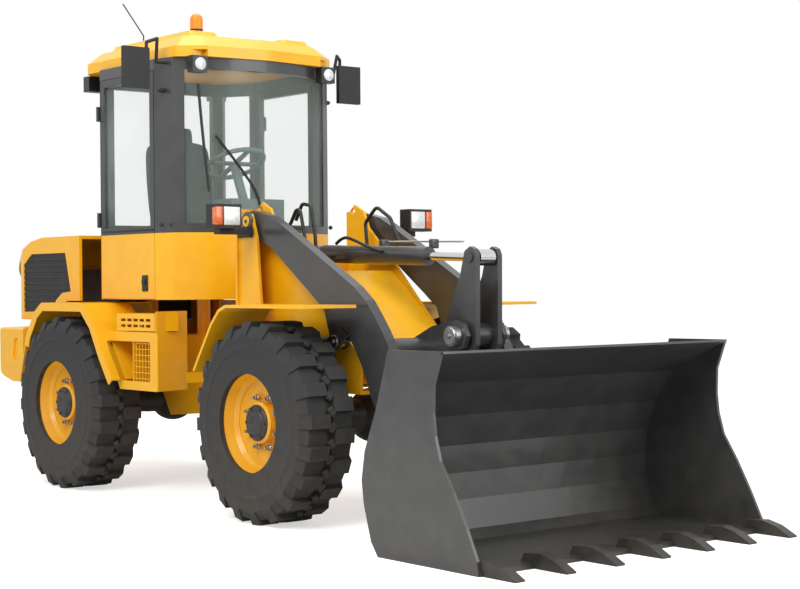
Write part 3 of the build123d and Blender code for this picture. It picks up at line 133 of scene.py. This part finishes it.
@dataclass(frozen=True)
class Finish:
    """One real finish, drawn by nodes on Object coordinates.

    Sizes of patterns are in millimetres, heights in metres.
    """

    name: str
    base: str
    shade: str
    roughness: float
    metallic: float = 0.0
    spread: float = 0.05
    patch_mm: float = 120.0
    grain_mm: float = 3.0
    relief_mm: float = 0.05
    clear_coat: float = 0.0
    dust: str = "#8A7C66"
    dust_top: float = 0.0
    dust_most: float = 0.0
    coat: Coat = Coat.PLAIN
    upper: str = "#000000"
    split_z: float = 0.0

    def material(self) -> bpy.types.Material:
        """Build the finish once, and give the same material after that.

        Returns:
            The material.
        """
        ready = bpy.data.materials.get(self.name)
        if ready is not None:
            return ready
        made = bpy.data.materials.new(self.name)
        made.use_nodes = True
        tree = made.node_tree
        tree.nodes.clear()
        where = add_node(tree, "ShaderNodeTexCoord", {}, {}).outputs["Object"]
        patches = add_node(tree, "ShaderNodeTexNoise", {},
                           {"Vector": where, "Scale": 1000.0 / self.patch_mm, "Detail": 3.0,
                            "Roughness": 0.55})
        grain = add_node(tree, "ShaderNodeTexNoise", {},
                         {"Vector": where, "Scale": 1000.0 / self.grain_mm, "Detail": 2.0, "Roughness": 0.6})
        ramp = add_node(tree, "ShaderNodeValToRGB", {}, {"Fac": patches.outputs["Fac"]})
        ramp.color_ramp.elements[0].position = 0.38
        ramp.color_ramp.elements[0].color = linear(self.shade)
        ramp.color_ramp.elements[1].position = 0.62
        ramp.color_ramp.elements[1].color = linear(self.base)
        colour = ramp.outputs["Color"]
        height = add_node(tree, "ShaderNodeSeparateXYZ", {}, {"Vector": where}).outputs["Z"]
        if self.coat is Coat.SPLIT:
            above = add_node(tree, "ShaderNodeMath", {"operation": "GREATER_THAN"},
                             {0: height, 1: self.split_z})
            mixed = add_node(tree, "ShaderNodeMix", {"data_type": "RGBA"},
                             {"Factor": above.outputs[0], "A": colour, "B": linear(self.upper)})
            colour = mixed.outputs["Result"]
        if self.dust_most > 0:
            low = add_node(tree, "ShaderNodeMapRange", {},
                           {"Value": height, "From Min": 0.0, "From Max": self.dust_top,
                            "To Min": self.dust_most, "To Max": 0.0})
            worn = add_node(tree, "ShaderNodeMath", {"operation": "MULTIPLY"},
                            {0: low.outputs["Result"], 1: patches.outputs["Fac"]})
            dusty = add_node(tree, "ShaderNodeMix", {"data_type": "RGBA"},
                             {"Factor": worn.outputs[0], "A": colour, "B": linear(self.dust)})
            colour = dusty.outputs["Result"]
        gloss = add_node(tree, "ShaderNodeMapRange", {},
                         {"Value": patches.outputs["Fac"], "From Min": 0.3, "From Max": 0.7,
                          "To Min": max(0.02, self.roughness - self.spread),
                          "To Max": min(1.0, self.roughness + self.spread)})
        bump = add_node(tree, "ShaderNodeBump", {},
                        {"Strength": 1.0, "Distance": self.relief_mm / 1000.0,
                         "Height": grain.outputs["Fac"]})
        shader = add_node(tree, "ShaderNodeBsdfPrincipled", {},
                          {"Base Color": colour, "Roughness": gloss.outputs["Result"],
                           "Metallic": self.metallic, "Normal": bump.outputs["Normal"],
                           "Coat Weight": self.clear_coat, "Coat Roughness": 0.08})
        add_node(tree, "ShaderNodeOutputMaterial", {}, {"Surface": shader.outputs["BSDF"]})
        return made


@dataclass(frozen=True)
class Glass:
    """Tinted safety glass, seen through with a pale green tone."""

    name: str
    tint: str
    roughness: float
    opacity: float

    def material(self) -> bpy.types.Material:
        """Build the glass once, and give the same material after that.

        Returns:
            The material.
        """
        ready = bpy.data.materials.get(self.name)
        if ready is not None:
            return ready
        made = bpy.data.materials.new(self.name)
        made.use_nodes = True
        tree = made.node_tree
        tree.nodes.clear()
        where = add_node(tree, "ShaderNodeTexCoord", {}, {}).outputs["Object"]
        film = add_node(tree, "ShaderNodeTexNoise", {}, {"Vector": where, "Scale": 4.0, "Detail": 2.0})
        haze = add_node(tree, "ShaderNodeMapRange", {},
                        {"Value": film.outputs["Fac"], "To Min": self.roughness,
                         "To Max": self.roughness + 0.03})
        shader = add_node(tree, "ShaderNodeBsdfPrincipled", {},
                          {"Base Color": linear(self.tint), "Roughness": haze.outputs["Result"],
                           "Alpha": self.opacity, "IOR": 1.52})
        add_node(tree, "ShaderNodeOutputMaterial", {}, {"Surface": shader.outputs["BSDF"]})
        return made


# Two-pack enamel sprayed over primer: even yellow, a soft clear gloss and a little dust near the ground.
YELLOW = Finish("sprayed_yellow_enamel", "#F3B40F", "#EFAE0C", 0.36, spread=0.04, grain_mm=1.6,
                relief_mm=0.02,
                clear_coat=0.12, dust_top=1.1, dust_most=0.16)
# The same enamel on steel rims, where mud dulls it.
RIM_YELLOW = Finish("sprayed_rim_enamel", "#F0B00E", "#E8A60B", 0.42, spread=0.06, grain_mm=2.0,
                    relief_mm=0.03,
                    clear_coat=0.2, dust_top=1.0, dust_most=0.30)
# Satin grey enamel on the arms, the linkage and the bucket.
GREY = Finish("satin_grey_enamel", "#3B3C3D", "#353637", 0.34, spread=0.06, grain_mm=2.2, relief_mm=0.03,
              clear_coat=0.3, dust_top=0.9, dust_most=0.14)
# Powder coat on steel tube, with a fine orange-peel.
DARK = Finish("black_powder_coat", "#242526", "#1E1F20", 0.5, spread=0.05, grain_mm=1.2, relief_mm=0.05,
              dust_top=0.9, dust_most=0.22)
# Moulded glass-filled nylon, matt with a fine spark grain.
BLACK_PLASTIC = Finish("moulded_black_nylon", "#1B1C1D", "#161718", 0.58, grain_mm=0.9, relief_mm=0.06)
# Moulded ABS of the dash, a dark grey green.
DASH = Finish("moulded_grey_abs", "#576A69", "#4F6160", 0.55, grain_mm=1.0, relief_mm=0.05)
# Doors: enamel panel below the belt line, satin grey frame above it.
DOOR = Finish("door_enamel_two_tone", "#F3B40F", "#EFAE0C", 0.36, spread=0.04, grain_mm=1.6, relief_mm=0.02,
              clear_coat=0.12, coat=Coat.SPLIT, upper="#343536", split_z=1.545)
# Work lamps in black housings, with the amber dome of the beacon above the roof.
LAMPS = Finish("lamp_housing_and_amber_dome", "#202122", "#1C1D1E", 0.35, grain_mm=1.0, relief_mm=0.03,
               coat=Coat.SPLIT, upper="#F08A12", split_z=2.745)
# Tyre rubber, cured matt, with dry dust in its lower half.
RUBBER = Finish("cured_tyre_rubber", "#2C2C2D", "#232324", 0.78, spread=0.08, patch_mm=60,
                grain_mm=2.4, relief_mm=0.25, dust_top=0.9, dust_most=0.22)
# Hose rubber with a wrapped cover.
HOSE = Finish("wrapped_hose_rubber", "#1A1A1B", "#141415", 0.5, grain_mm=1.4, relief_mm=0.12)
# Hard chrome on ground rods.
CHROME = Finish("hard_chrome_rod", "#D9DADB", "#CFD0D2", 0.12, metallic=1.0, spread=0.03, grain_mm=1.0,
                relief_mm=0.005)
# Ground steel of pins and nuts.
STEEL = Finish("ground_pin_steel", "#A9ABAD", "#97999B", 0.34, metallic=1.0, spread=0.07, grain_mm=1.0,
               relief_mm=0.03)
# Cast iron block under the hood.
IRON = Finish("cast_engine_iron", "#4B4D4F", "#3F4143", 0.62, metallic=0.3, grain_mm=2.5, relief_mm=0.3)
# Seat cloth, knitted, nearly black.
CLOTH = Finish("knitted_seat_cloth", "#232427", "#1B1C1F", 0.9, grain_mm=2.2, relief_mm=0.35)
# Fluted polycarbonate lens in front of a bright reflector.
LENS = Finish("fluted_clear_lens", "#E8ECEC", "#D4DADA", 0.12, metallic=0.35, patch_mm=14,
              grain_mm=4.0, relief_mm=0.5, clear_coat=1.0)
# Amber indicator lens.
AMBER = Finish("amber_acrylic_lens", "#E06A10", "#C9560A", 0.18, patch_mm=16, grain_mm=4.0,
               relief_mm=0.4, clear_coat=1.0)
# Toughened safety glass of the cab, with a pale green tint.
GREEN_GLASS = Glass("tinted_safety_glass", "#CFE6DD", 0.02, 0.08)

NODE_FINISH: dict[str, Finish | Glass] = {
    "rear_frame": YELLOW, "counterweight": YELLOW, "rear_axle": DARK, "engine_block": IRON,
    "fender_steps": YELLOW,
    "cab_shell": YELLOW, "cab_frame": GREY, "cab_roof": YELLOW, "cab_glass": GREEN_GLASS, "cab_console": DASH,
    "seat": CLOTH, "roof_lamps": LAMPS, "cab_rails": BLACK_PLASTIC, "hood": YELLOW,
    "hood_grilles": BLACK_PLASTIC,
    "door_right": DOOR, "door_right_glass": GREEN_GLASS, "door_left": DOOR, "door_left_glass": GREEN_GLASS,
    "front_frame": YELLOW, "front_axle": DARK, "headlamps": BLACK_PLASTIC, "hoses": HOSE, "boom": GREY,
    "bucket_pins": STEEL, "bucket": GREY, "bucket_teeth": DARK, "bellcrank_pin": STEEL, "bellcrank": GREY,
    "link_pin": STEEL, "tilt_link": GREY, "tilt_barrel": GREY, "tilt_rod": CHROME, "lift_barrels": GREY,
    "lift_rods": CHROME, "steering_barrel": DARK, "steering_rod": CHROME,
}
for corner in ("fr", "fl", "rr", "rl"):
    NODE_FINISH[f"wheel_{corner}_rim"] = RIM_YELLOW
    NODE_FINISH[f"wheel_{corner}_tyre"] = RUBBER


@dataclass
class Builder:
    """Base of every sub-assembly that adds pieces to the frame."""

    count: int = field(default=0, init=False)

    def place(self, name: str, mesh_data: bmesh.types.BMesh, finish: Finish | Glass, body: str, slot: str,
              smooth: bool = True) -> bpy.types.Object:
        """Turn a bmesh into a piece that rides on a body.

        Args:
            name: Name of the piece.
            mesh_data: Finished bmesh in model metres, freed here.
            finish: Finish to dress it with.
            body: Body that carries it.
            slot: Name of a material slot; not used.
            smooth: Whether faces that meet under SMOOTH_DEG are shaded smooth.

        Returns:
            The new object.
        """
        bmesh.ops.remove_doubles(mesh_data, verts=mesh_data.verts, dist=1e-6)
        bmesh.ops.recalc_face_normals(mesh_data, faces=mesh_data.faces)
        mesh = bpy.data.meshes.new(name)
        mesh_data.to_mesh(mesh)
        mesh_data.free()
        mesh.materials.append(finish.material())
        piece = bpy.data.objects.new(name, mesh)
        bpy.context.scene.collection.objects.link(piece)
        if smooth:
            mesh.shade_smooth()
            mesh.set_sharp_from_angle(angle=math.radians(SMOOTH_DEG))
        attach(piece, body)
        self.count += 1
        LOG.info("piece %s on %s", name, body)
        return piece


def rounded_block(mesh: bmesh.types.BMesh, middle: Point, size: Point, radius: float, segments: int = 3,
                  turn: Matrix | None = None) -> None:
    """Add a block with rounded edges to a bmesh.

    Args:
        mesh: Bmesh that takes the block.
        middle: Middle of the block.
        size: Length along X, Y and Z.
        radius: Edge radius.
        segments: Steps of the rounding.
        turn: Rotation about the middle.
    """
    made = bmesh.ops.create_cube(mesh, size=1.0)["verts"]
    bmesh.ops.scale(mesh, vec=Vector(size), verts=made)
    edges = list({edge for vert in made for edge in vert.link_edges})
    done = bmesh.ops.bevel(mesh, geom=edges, offset=radius, segments=segments, profile=0.5, affect="EDGES",
                           material=-1)
    verts = list({vert for face in done["faces"] for vert in face.verts} | {v for v in made if v.is_valid})
    if turn is not None:
        bmesh.ops.rotate(mesh, cent=(0, 0, 0), matrix=turn, verts=verts)
    bmesh.ops.translate(mesh, vec=Vector(middle), verts=verts)


def turned(mesh: bmesh.types.BMesh, profile: Sequence[tuple[float, float]], centre: Point, axis: Point,
           steps: int = 32) -> None:
    """Add a turned shape to a bmesh.

    Args:
        mesh: Bmesh that takes the shape.
        profile: Distance along the axis and radius of each point.
        centre: Point on the axis where the distance is zero.
        axis: Direction of the axis.
        steps: Steps of a full turn.
    """
    along = Vector(axis).normalized()
    out = along.orthogonal().normalized()
    verts = [mesh.verts.new(Vector(centre) + along * far + out * radius) for far, radius in profile]
    edges = [mesh.edges.new(pair) for pair in zip(verts[:-1], verts[1:])]
    bmesh.ops.spin(mesh, geom=verts + edges, cent=Vector(centre), axis=along, angle=math.tau, steps=steps,
                   use_merge=True, use_duplicate=False, dvec=(0, 0, 0))


def tube(points: Iterable[Point], radius: float, steps: int = 10) -> bmesh.types.BMesh:
    """Sweep a round tube along a smooth curve through control points.

    Args:
        points: Control points of a NURBS line.
        radius: Radius of the tube.
        steps: Steps around the tube.

    Returns:
        The tube as a bmesh.
    """
    route = list(points)
    curve = bpy.data.curves.new("route", "CURVE")
    curve.dimensions = "3D"
    spline = curve.splines.new("NURBS")
    spline.points.add(len(route) - 1)
    for spot, at in zip(spline.points, route):
        spot.co = (*at, 1.0)
    spline.order_u = 3
    spline.use_endpoint_u = True
    curve.resolution_u = 8
    curve.bevel_depth = radius
    curve.bevel_resolution = max(1, steps // 4)
    curve.use_fill_caps = True
    holder = bpy.data.objects.new("route", curve)
    mesh = bpy.data.meshes.new_from_object(holder)
    made = bmesh.new()
    made.from_mesh(mesh)
    bpy.data.objects.remove(holder)
    bpy.data.curves.remove(curve)
    bpy.data.meshes.remove(mesh)
    return made


@dataclass
class Wheel(Builder):
    """Trim of one wheel: nuts, hub cap, and the ribs and centre blocks of the tyre."""

    corner: str = "fr"
    x: float = 0.55
    side: Side = Side.RIGHT
    axle_z: float = 0.525
    track_y: float = 0.675
    nut_circle: float = 0.1375

    def at(self, out: float, radius: float = 0.0, angle: float = 0.0) -> Point:
        """Give a point on the wheel.

        Args:
            out: Distance outwards from the middle of the wheel.
            radius: Distance from the axle.
            angle: Angle about the axle in radians.

        Returns:
            The point in model metres.
        """
        return (self.x + radius * math.cos(angle), self.side.value * (self.track_y + out),
                self.axle_z + radius * math.sin(angle))

    def build(self) -> None:
        """Build all the trim of this wheel."""
        body = f"wheel_{self.corner}"
        axis = (0.0, float(self.side.value), 0.0)
        nuts = bmesh.new()
        for count in range(NUT_COUNT):
            angle = math.tau * (count + 0.5) / NUT_COUNT
            turned(nuts, NUT_PROFILE, self.at(0, self.nut_circle, angle), axis, 12)
        self.place(f"{body}_nuts", nuts, STEEL, body, "pin_steel")
        cap = bmesh.new()
        turned(cap, HUB_PROFILE, self.at(0), axis, 40)
        for count in range(CAP_BOLT_COUNT):
            turned(cap, CAP_BOLT_PROFILE, self.at(0, 0.080, math.tau * count / CAP_BOLT_COUNT), axis, 6)
        self.place(f"{body}_hub_cap", cap, DARK, body, "black_paint")
        ribs = bmesh.new()
        for radius, out, thick in TYRE_RIBS:
            turned(ribs, [(out - 0.004, radius - thick), (out + 0.004, radius - thick * 0.4),
                          (out + 0.004, radius + thick * 0.4), (out - 0.004, radius + thick)],
                   self.at(0), axis, 72)
        self.place(f"{body}_tyre_ribs", ribs, RUBBER, body, "tyre_rubber")
        blocks = bmesh.new()
        for count in range(BLOCK_COUNT):
            turn = Matrix.Rotation(-math.tau * count / BLOCK_COUNT, 3, "Y")
            before = set(blocks.verts)
            slant = math.radians(BLOCK_TURN_DEG if count % 2 else -BLOCK_TURN_DEG)
            rounded_block(blocks, (0, 0, 0), BLOCK_SIZE, 0.004, 1, Matrix.Rotation(slant, 3, "Z"))
            fresh = [v for v in blocks.verts if v not in before]
            bmesh.ops.translate(blocks, vec=(0, 0, BLOCK_RADIUS), verts=fresh)
            bmesh.ops.rotate(blocks, cent=(0, 0, 0), matrix=turn, verts=fresh)
        bmesh.ops.translate(blocks, vec=(self.x, self.side.value * self.track_y, self.axle_z),
                            verts=blocks.verts)
        self.place(f"{body}_centre_blocks", blocks, RUBBER, body, "tyre_rubber")


@dataclass
class PinCaps(Builder):
    """Round end plates on the pivots of the loader linkage."""

    spots: tuple[tuple[str, float, float, float, float, str], ...] = (
        ("boom_pivot", 0.005, 1.590, 0.452, 0.052, "front"),
        ("lift_foot", -0.160, 0.880, 0.452, 0.044, "front"),
        ("bucket_pivot", 1.430, 0.365, 0.458, 0.038, "boom_arms"),
        ("lift_eye", 0.760, 0.940, 0.429, 0.034, "boom_arms"),
        ("crank_pivot", 1.390, 0.975, 0.181, 0.044, "crank_pin_body"),
    )

    def build(self) -> None:
        """Build the caps on both sides."""
        for name, x, z, reach, radius, body in self.spots:
            caps = bmesh.new()
            for side in Side:
                axis = (0.0, float(side.value), 0.0)
                centre = (x, side.value * reach, z)
                turned(caps, [(-0.003, 0.0), (-0.003, radius), (0.005, radius), (0.008, radius - 0.003),
                              (0.008, 0.012), (0.016, 0.010), (0.018, 0.0)], centre, axis, 28)
            self.place(f"{name}_caps", caps, GREY if body == "front" else STEEL, body,
                       "dark_grey_paint" if body == "front" else "pin_steel")


@dataclass
class Lamps(Builder):
    """Lenses of the headlamps and the roof lamps."""

    head_x: float = 0.155
    head_y: float = 0.678
    head_z: float = 1.611

    def build(self) -> None:
        """Build the lenses and amber ends."""
        clear, amber = bmesh.new(), bmesh.new()
        for side in Side:
            rounded_block(clear, (self.head_x, side.value * (self.head_y - 0.022), self.head_z),
                          (0.014, 0.104, 0.100), 0.006, 3)
            rounded_block(amber, (self.head_x - 0.012, side.value * (self.head_y + 0.062), self.head_z),
                          (0.040, 0.048, 0.100), 0.008, 3)
        self.place("headlamp_lenses", clear, LENS, "front", "lamp_lens")
        self.place("headlamp_indicators", amber, AMBER, "front", "lamp_lens")
        work = bmesh.new()
        for y in (-0.461, 0.461):
            for x, facing in ((-0.4495, 1.0), (-1.7275, -1.0)):
                turned(work, WORK_LENS_PROFILE, (x, y, 2.512), (facing, 0.0, 0.0), 24)
        self.place("work_lamp_lenses", work, LENS, "rear", "lamp_lens")


@dataclass
class Cab(Builder):
    """Wiper, door latches and belt seals of the cab, and the seat's soft parts."""

    def build(self) -> None:
        """Build every piece of the cab's trim."""
        arm = tube([(-0.45, -0.035, 1.60), (-0.437, -0.05, 1.70), (-0.452, -0.113, 1.853),
                    (-0.478, -0.342, 2.108)], 0.008)
        self.place("wiper_arm", arm, BLACK_PLASTIC, "rear", "black_plastic")
        blade = tube([(-0.488, -0.452, 2.40), (-0.482, -0.43, 2.10), (-0.462, -0.40, 1.78)], 0.009)
        self.place("wiper_blade", blade, BLACK_PLASTIC, "rear", "black_plastic")
        for side, name in ((Side.RIGHT, "right"), (Side.LEFT, "left")):
            latch = bmesh.new()
            rounded_block(latch, (-0.858, side.value * 0.597, 1.252), (0.062, 0.012, 0.095), 0.005)
            rounded_block(latch, (-0.858, side.value * 0.606, 1.262), (0.040, 0.012, 0.030), 0.004)
            self.place(f"door_latch_{name}", latch, BLACK_PLASTIC, f"{name}_door", "black_plastic")
            seal = bmesh.new()
            rounded_block(seal, (-1.062, side.value * 0.5965, 1.566), (0.60, 0.008, 0.012), 0.003)
            self.place(f"door_belt_seal_{name}", seal, HOSE, f"{name}_door", "hose_rubber")

    def cushion(self, name: str, middle: Point, size: Point, lean: float) -> bpy.types.Object:
        """Build one crowned cushion.

        Args:
            name: Name of the piece.
            middle: Middle of the cushion.
            size: Its length along X, Y and Z before it leans.
            lean: Turn about Y in degrees.

        Returns:
            The cushion.
        """
        pad = bmesh.new()
        made = bmesh.ops.create_cube(pad, size=1.0)["verts"]
        bmesh.ops.scale(pad, vec=Vector(size), verts=made)
        bmesh.ops.subdivide_edges(pad, edges=pad.edges[:], cuts=CUSHION_CUTS, use_grid_fill=True)
        for vert in pad.verts:
            u, v, w = (vert.co[i] / (size[i] / 2) for i in range(3))
            swell = (1 - u * u) * (1 - v * v) + (1 - v * v) * (1 - w * w) + (1 - u * u) * (1 - w * w)
            pull = 0.90 + 0.10 * min(1.0, swell)
            seam = 0.985 if abs(abs(v) - 0.62) < 0.06 else 1.0
            vert.co = Vector((vert.co.x * pull, vert.co.y * pull, vert.co.z * pull * seam))
        bmesh.ops.smooth_vert(pad, verts=pad.verts, factor=0.5, use_axis_x=True, use_axis_y=True,
                              use_axis_z=True)
        bmesh.ops.rotate(pad, cent=(0, 0, 0), matrix=Matrix.Rotation(math.radians(lean), 3, "Y"),
                         verts=pad.verts)
        bmesh.ops.translate(pad, vec=Vector(middle), verts=pad.verts)
        piece = self.place(name, pad, CLOTH, "rear", "seat_fabric")
        finer = piece.modifiers.new("smooth", "SUBSURF")
        finer.levels = finer.render_levels = 1
        return piece

    def seat(self) -> None:
        """Build the seat's cushions and its base in place of the plain solid."""
        base = bmesh.new()
        rounded_block(base, (-1.26, 0.0, 1.35), (0.37, 0.39, 0.30), 0.03)
        rounded_block(base, (-1.46, 0.0, 1.56), (0.05, 0.30, 0.16), 0.02)
        bottom = self.place("seat_base", base, BLACK_PLASTIC, "rear", "black_plastic")
        parts = [bottom, self.cushion("seat_cushion", (-1.23, 0.0, 1.562), (0.49, 0.48, 0.15), 0.0),
                 self.cushion("seat_backrest", (-1.421, 0.0, 1.865), (0.13, 0.46, 0.60), -7.0),
                 self.cushion("seat_headrest", (-1.502, 0.0, 2.175), (0.10, 0.27, 0.15), -7.0)]
        for part in parts:
            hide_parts("seat")


@dataclass
class Lines(Builder):
    """Hose and level rod on the tilt cylinder, and the brackets of the hoses on the towers."""

    def build(self) -> None:
        """Build the hose, the level rod with its clips, and the brackets."""
        hose = tube([(0.30, -0.06, 1.462), (0.36, -0.062, 1.500), (0.45, -0.062, 1.485), (0.60, -0.06, 1.432),
                     (0.70, -0.055, 1.412)], 0.009)
        self.place("tilt_hose", hose, HOSE, "tilt_cylinder", "hose_rubber")
        rod = tube([(0.50, 0.085, 1.470), (0.9, 0.085, 1.462), (1.20, 0.085, 1.455)], 0.005)
        self.place("level_rod", rod, CHROME, "tilt_cylinder", "chrome_rod")
        clips = bmesh.new()
        rounded_block(clips, (0.56, 0.070, 1.455), (0.03, 0.05, 0.05), 0.006)
        rounded_block(clips, (0.98, 0.070, 1.448), (0.03, 0.05, 0.05), 0.006)
        self.place("level_rod_clips", clips, GREY, "tilt_cylinder", "dark_grey_paint")
        brackets = bmesh.new()
        rounded_block(brackets, (0.216, -0.2395, 1.384), (0.060, 0.159, 0.012), 0.002, 2)
        rounded_block(brackets, (0.330, 0.2845, 1.384), (0.060, 0.069, 0.012), 0.002, 2)
        rounded_block(brackets, (0.0, -0.2295, 1.552), (0.060, 0.179, 0.012), 0.002, 2)
        self.place("hose_brackets", brackets, GREY, "front", "dark_grey_paint")


@dataclass
class Studio:
    """Camera, lamps, floor and sky."""

    eye: Point = (7.625, -5.639, 1.248)
    look: Point = (-0.781, 0.624, -0.0075)
    roll_deg: float = -0.48
    lens: float = 74.6
    shift_x: float = 0.031

    def camera(self) -> None:
        """Set the camera at the photograph's angle."""
        data = bpy.data.cameras.new("camera")
        data.lens = self.lens
        data.sensor_width = 36.0
        data.shift_x = self.shift_x
        data.clip_end = 200.0
        holder = bpy.data.objects.new("camera", data)
        aim = Vector(self.look).to_track_quat("-Z", "Y").to_matrix()
        roll = Matrix.Rotation(math.radians(self.roll_deg), 3, "Z")
        holder.matrix_world = Matrix.Translation(self.eye) @ (aim @ roll).to_4x4()
        bpy.context.scene.collection.objects.link(holder)
        bpy.context.scene.camera = holder

    def lamp(self, name: str, spot: Point, aim: Point, size: float, power: float) -> None:
        """Add one soft square lamp.

        Args:
            name: Name of the lamp.
            spot: Where it stands.
            aim: Point that it faces.
            size: Edge of the square.
            power: Watts.
        """
        data = bpy.data.lights.new(name, "AREA")
        data.size = size
        data.energy = power
        holder = bpy.data.objects.new(name, data)
        turn = (Vector(aim) - Vector(spot)).to_track_quat("-Z", "Y").to_matrix().to_4x4()
        holder.matrix_world = Matrix.Translation(spot) @ turn
        bpy.context.scene.collection.objects.link(holder)

    def floor(self) -> None:
        """Lay a pale floor that keeps the shadow and reads white."""
        ground = bmesh.new()
        bmesh.ops.create_grid(ground, x_segments=1, y_segments=1, size=FLOOR_HALF)
        mesh = bpy.data.meshes.new("floor")
        ground.to_mesh(mesh)
        ground.free()
        made = bpy.data.materials.new("pale_studio_floor")
        made.use_nodes = True
        tree = made.node_tree
        tree.nodes.clear()
        path = add_node(tree, "ShaderNodeLightPath", {}, {})
        seen = add_node(tree, "ShaderNodeMath", {"operation": "MAXIMUM"},
                        {0: path.outputs["Is Camera Ray"], 1: path.outputs["Is Transmission Ray"]})
        lift = add_node(tree, "ShaderNodeMath", {"operation": "MULTIPLY"},
                        {0: seen.outputs[0], 1: FLOOR_LIFT})
        plain = add_node(tree, "ShaderNodeBsdfPrincipled", {},
                         {"Base Color": linear("#E9E9E8"), "Roughness": 0.9, "Specular IOR Level": 0.1,
                          "Emission Color": linear("#FFFFFF"), "Emission Strength": lift.outputs[0]})
        add_node(tree, "ShaderNodeOutputMaterial", {}, {"Surface": plain.outputs["BSDF"]})
        mesh.materials.append(made)
        plane = bpy.data.objects.new("floor", mesh)
        bpy.context.scene.collection.objects.link(plane)

    def world(self) -> None:
        """Give a soft even sky that the camera and reflections see as white."""
        sky = bpy.data.worlds.new("studio")
        sky.use_nodes = True
        tree = sky.node_tree
        tree.nodes.clear()
        path = add_node(tree, "ShaderNodeLightPath", {}, {})
        first = add_node(tree, "ShaderNodeMath", {"operation": "MAXIMUM"},
                         {0: path.outputs["Is Camera Ray"], 1: path.outputs["Is Glossy Ray"]})
        seen = add_node(tree, "ShaderNodeMath", {"operation": "MAXIMUM"},
                        {0: first.outputs[0], 1: path.outputs["Is Transmission Ray"]})
        power = add_node(tree, "ShaderNodeMapRange", {},
                         {"Value": seen.outputs[0], "To Min": SKY_DIFFUSE, "To Max": 1.0})
        back = add_node(tree, "ShaderNodeBackground", {},
                        {"Color": linear("#FFFFFF"), "Strength": power.outputs["Result"]})
        add_node(tree, "ShaderNodeOutputWorld", {}, {"Surface": back.outputs["Background"]})
        bpy.context.scene.world = sky

    def build(self) -> None:
        """Set up the whole studio."""
        self.camera()
        self.floor()
        self.world()
        self.lamp("key", (4.0, -7.0, 7.5), (0.3, 0.0, 1.0), 5.0, 620.0)
        self.lamp("fill", (8.5, 3.0, 4.0), (0.5, 0.0, 1.0), 5.0, 260.0)
        self.lamp("top", (-1.0, 0.5, 9.0), (-0.5, 0.0, 1.0), 6.0, 330.0)
        scene = bpy.context.scene
        scene.view_settings.view_transform = "Standard"


def dress(frame: dict[str, Any]) -> None:
    """Give every node of the frame its finish.
    """
    for name, thing in frame["nodes"].items():
        made = NODE_FINISH[name].material()
        thing.data.materials.clear()
        thing.data.materials.append(made)
        LOG.info("node %s in %s", name, made.name)


def main() -> None:
    """Load the frame, dress it and build every piece."""
    logging.basicConfig(level=logging.INFO, format="%(name)s %(message)s")
    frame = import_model()
    dress(frame)
    for corner, x, side in (("fr", 0.55, Side.RIGHT), ("fl", 0.55, Side.LEFT), ("rr", -1.53, Side.RIGHT),
                            ("rl", -1.53, Side.LEFT)):
        Wheel(corner=corner, x=x, side=side).build()
    PinCaps().build()
    Lamps().build()
    cab = Cab()
    cab.build()
    cab.seat()
    Lines().build()
    Studio().build()


if __name__ == "__main__":
    main()
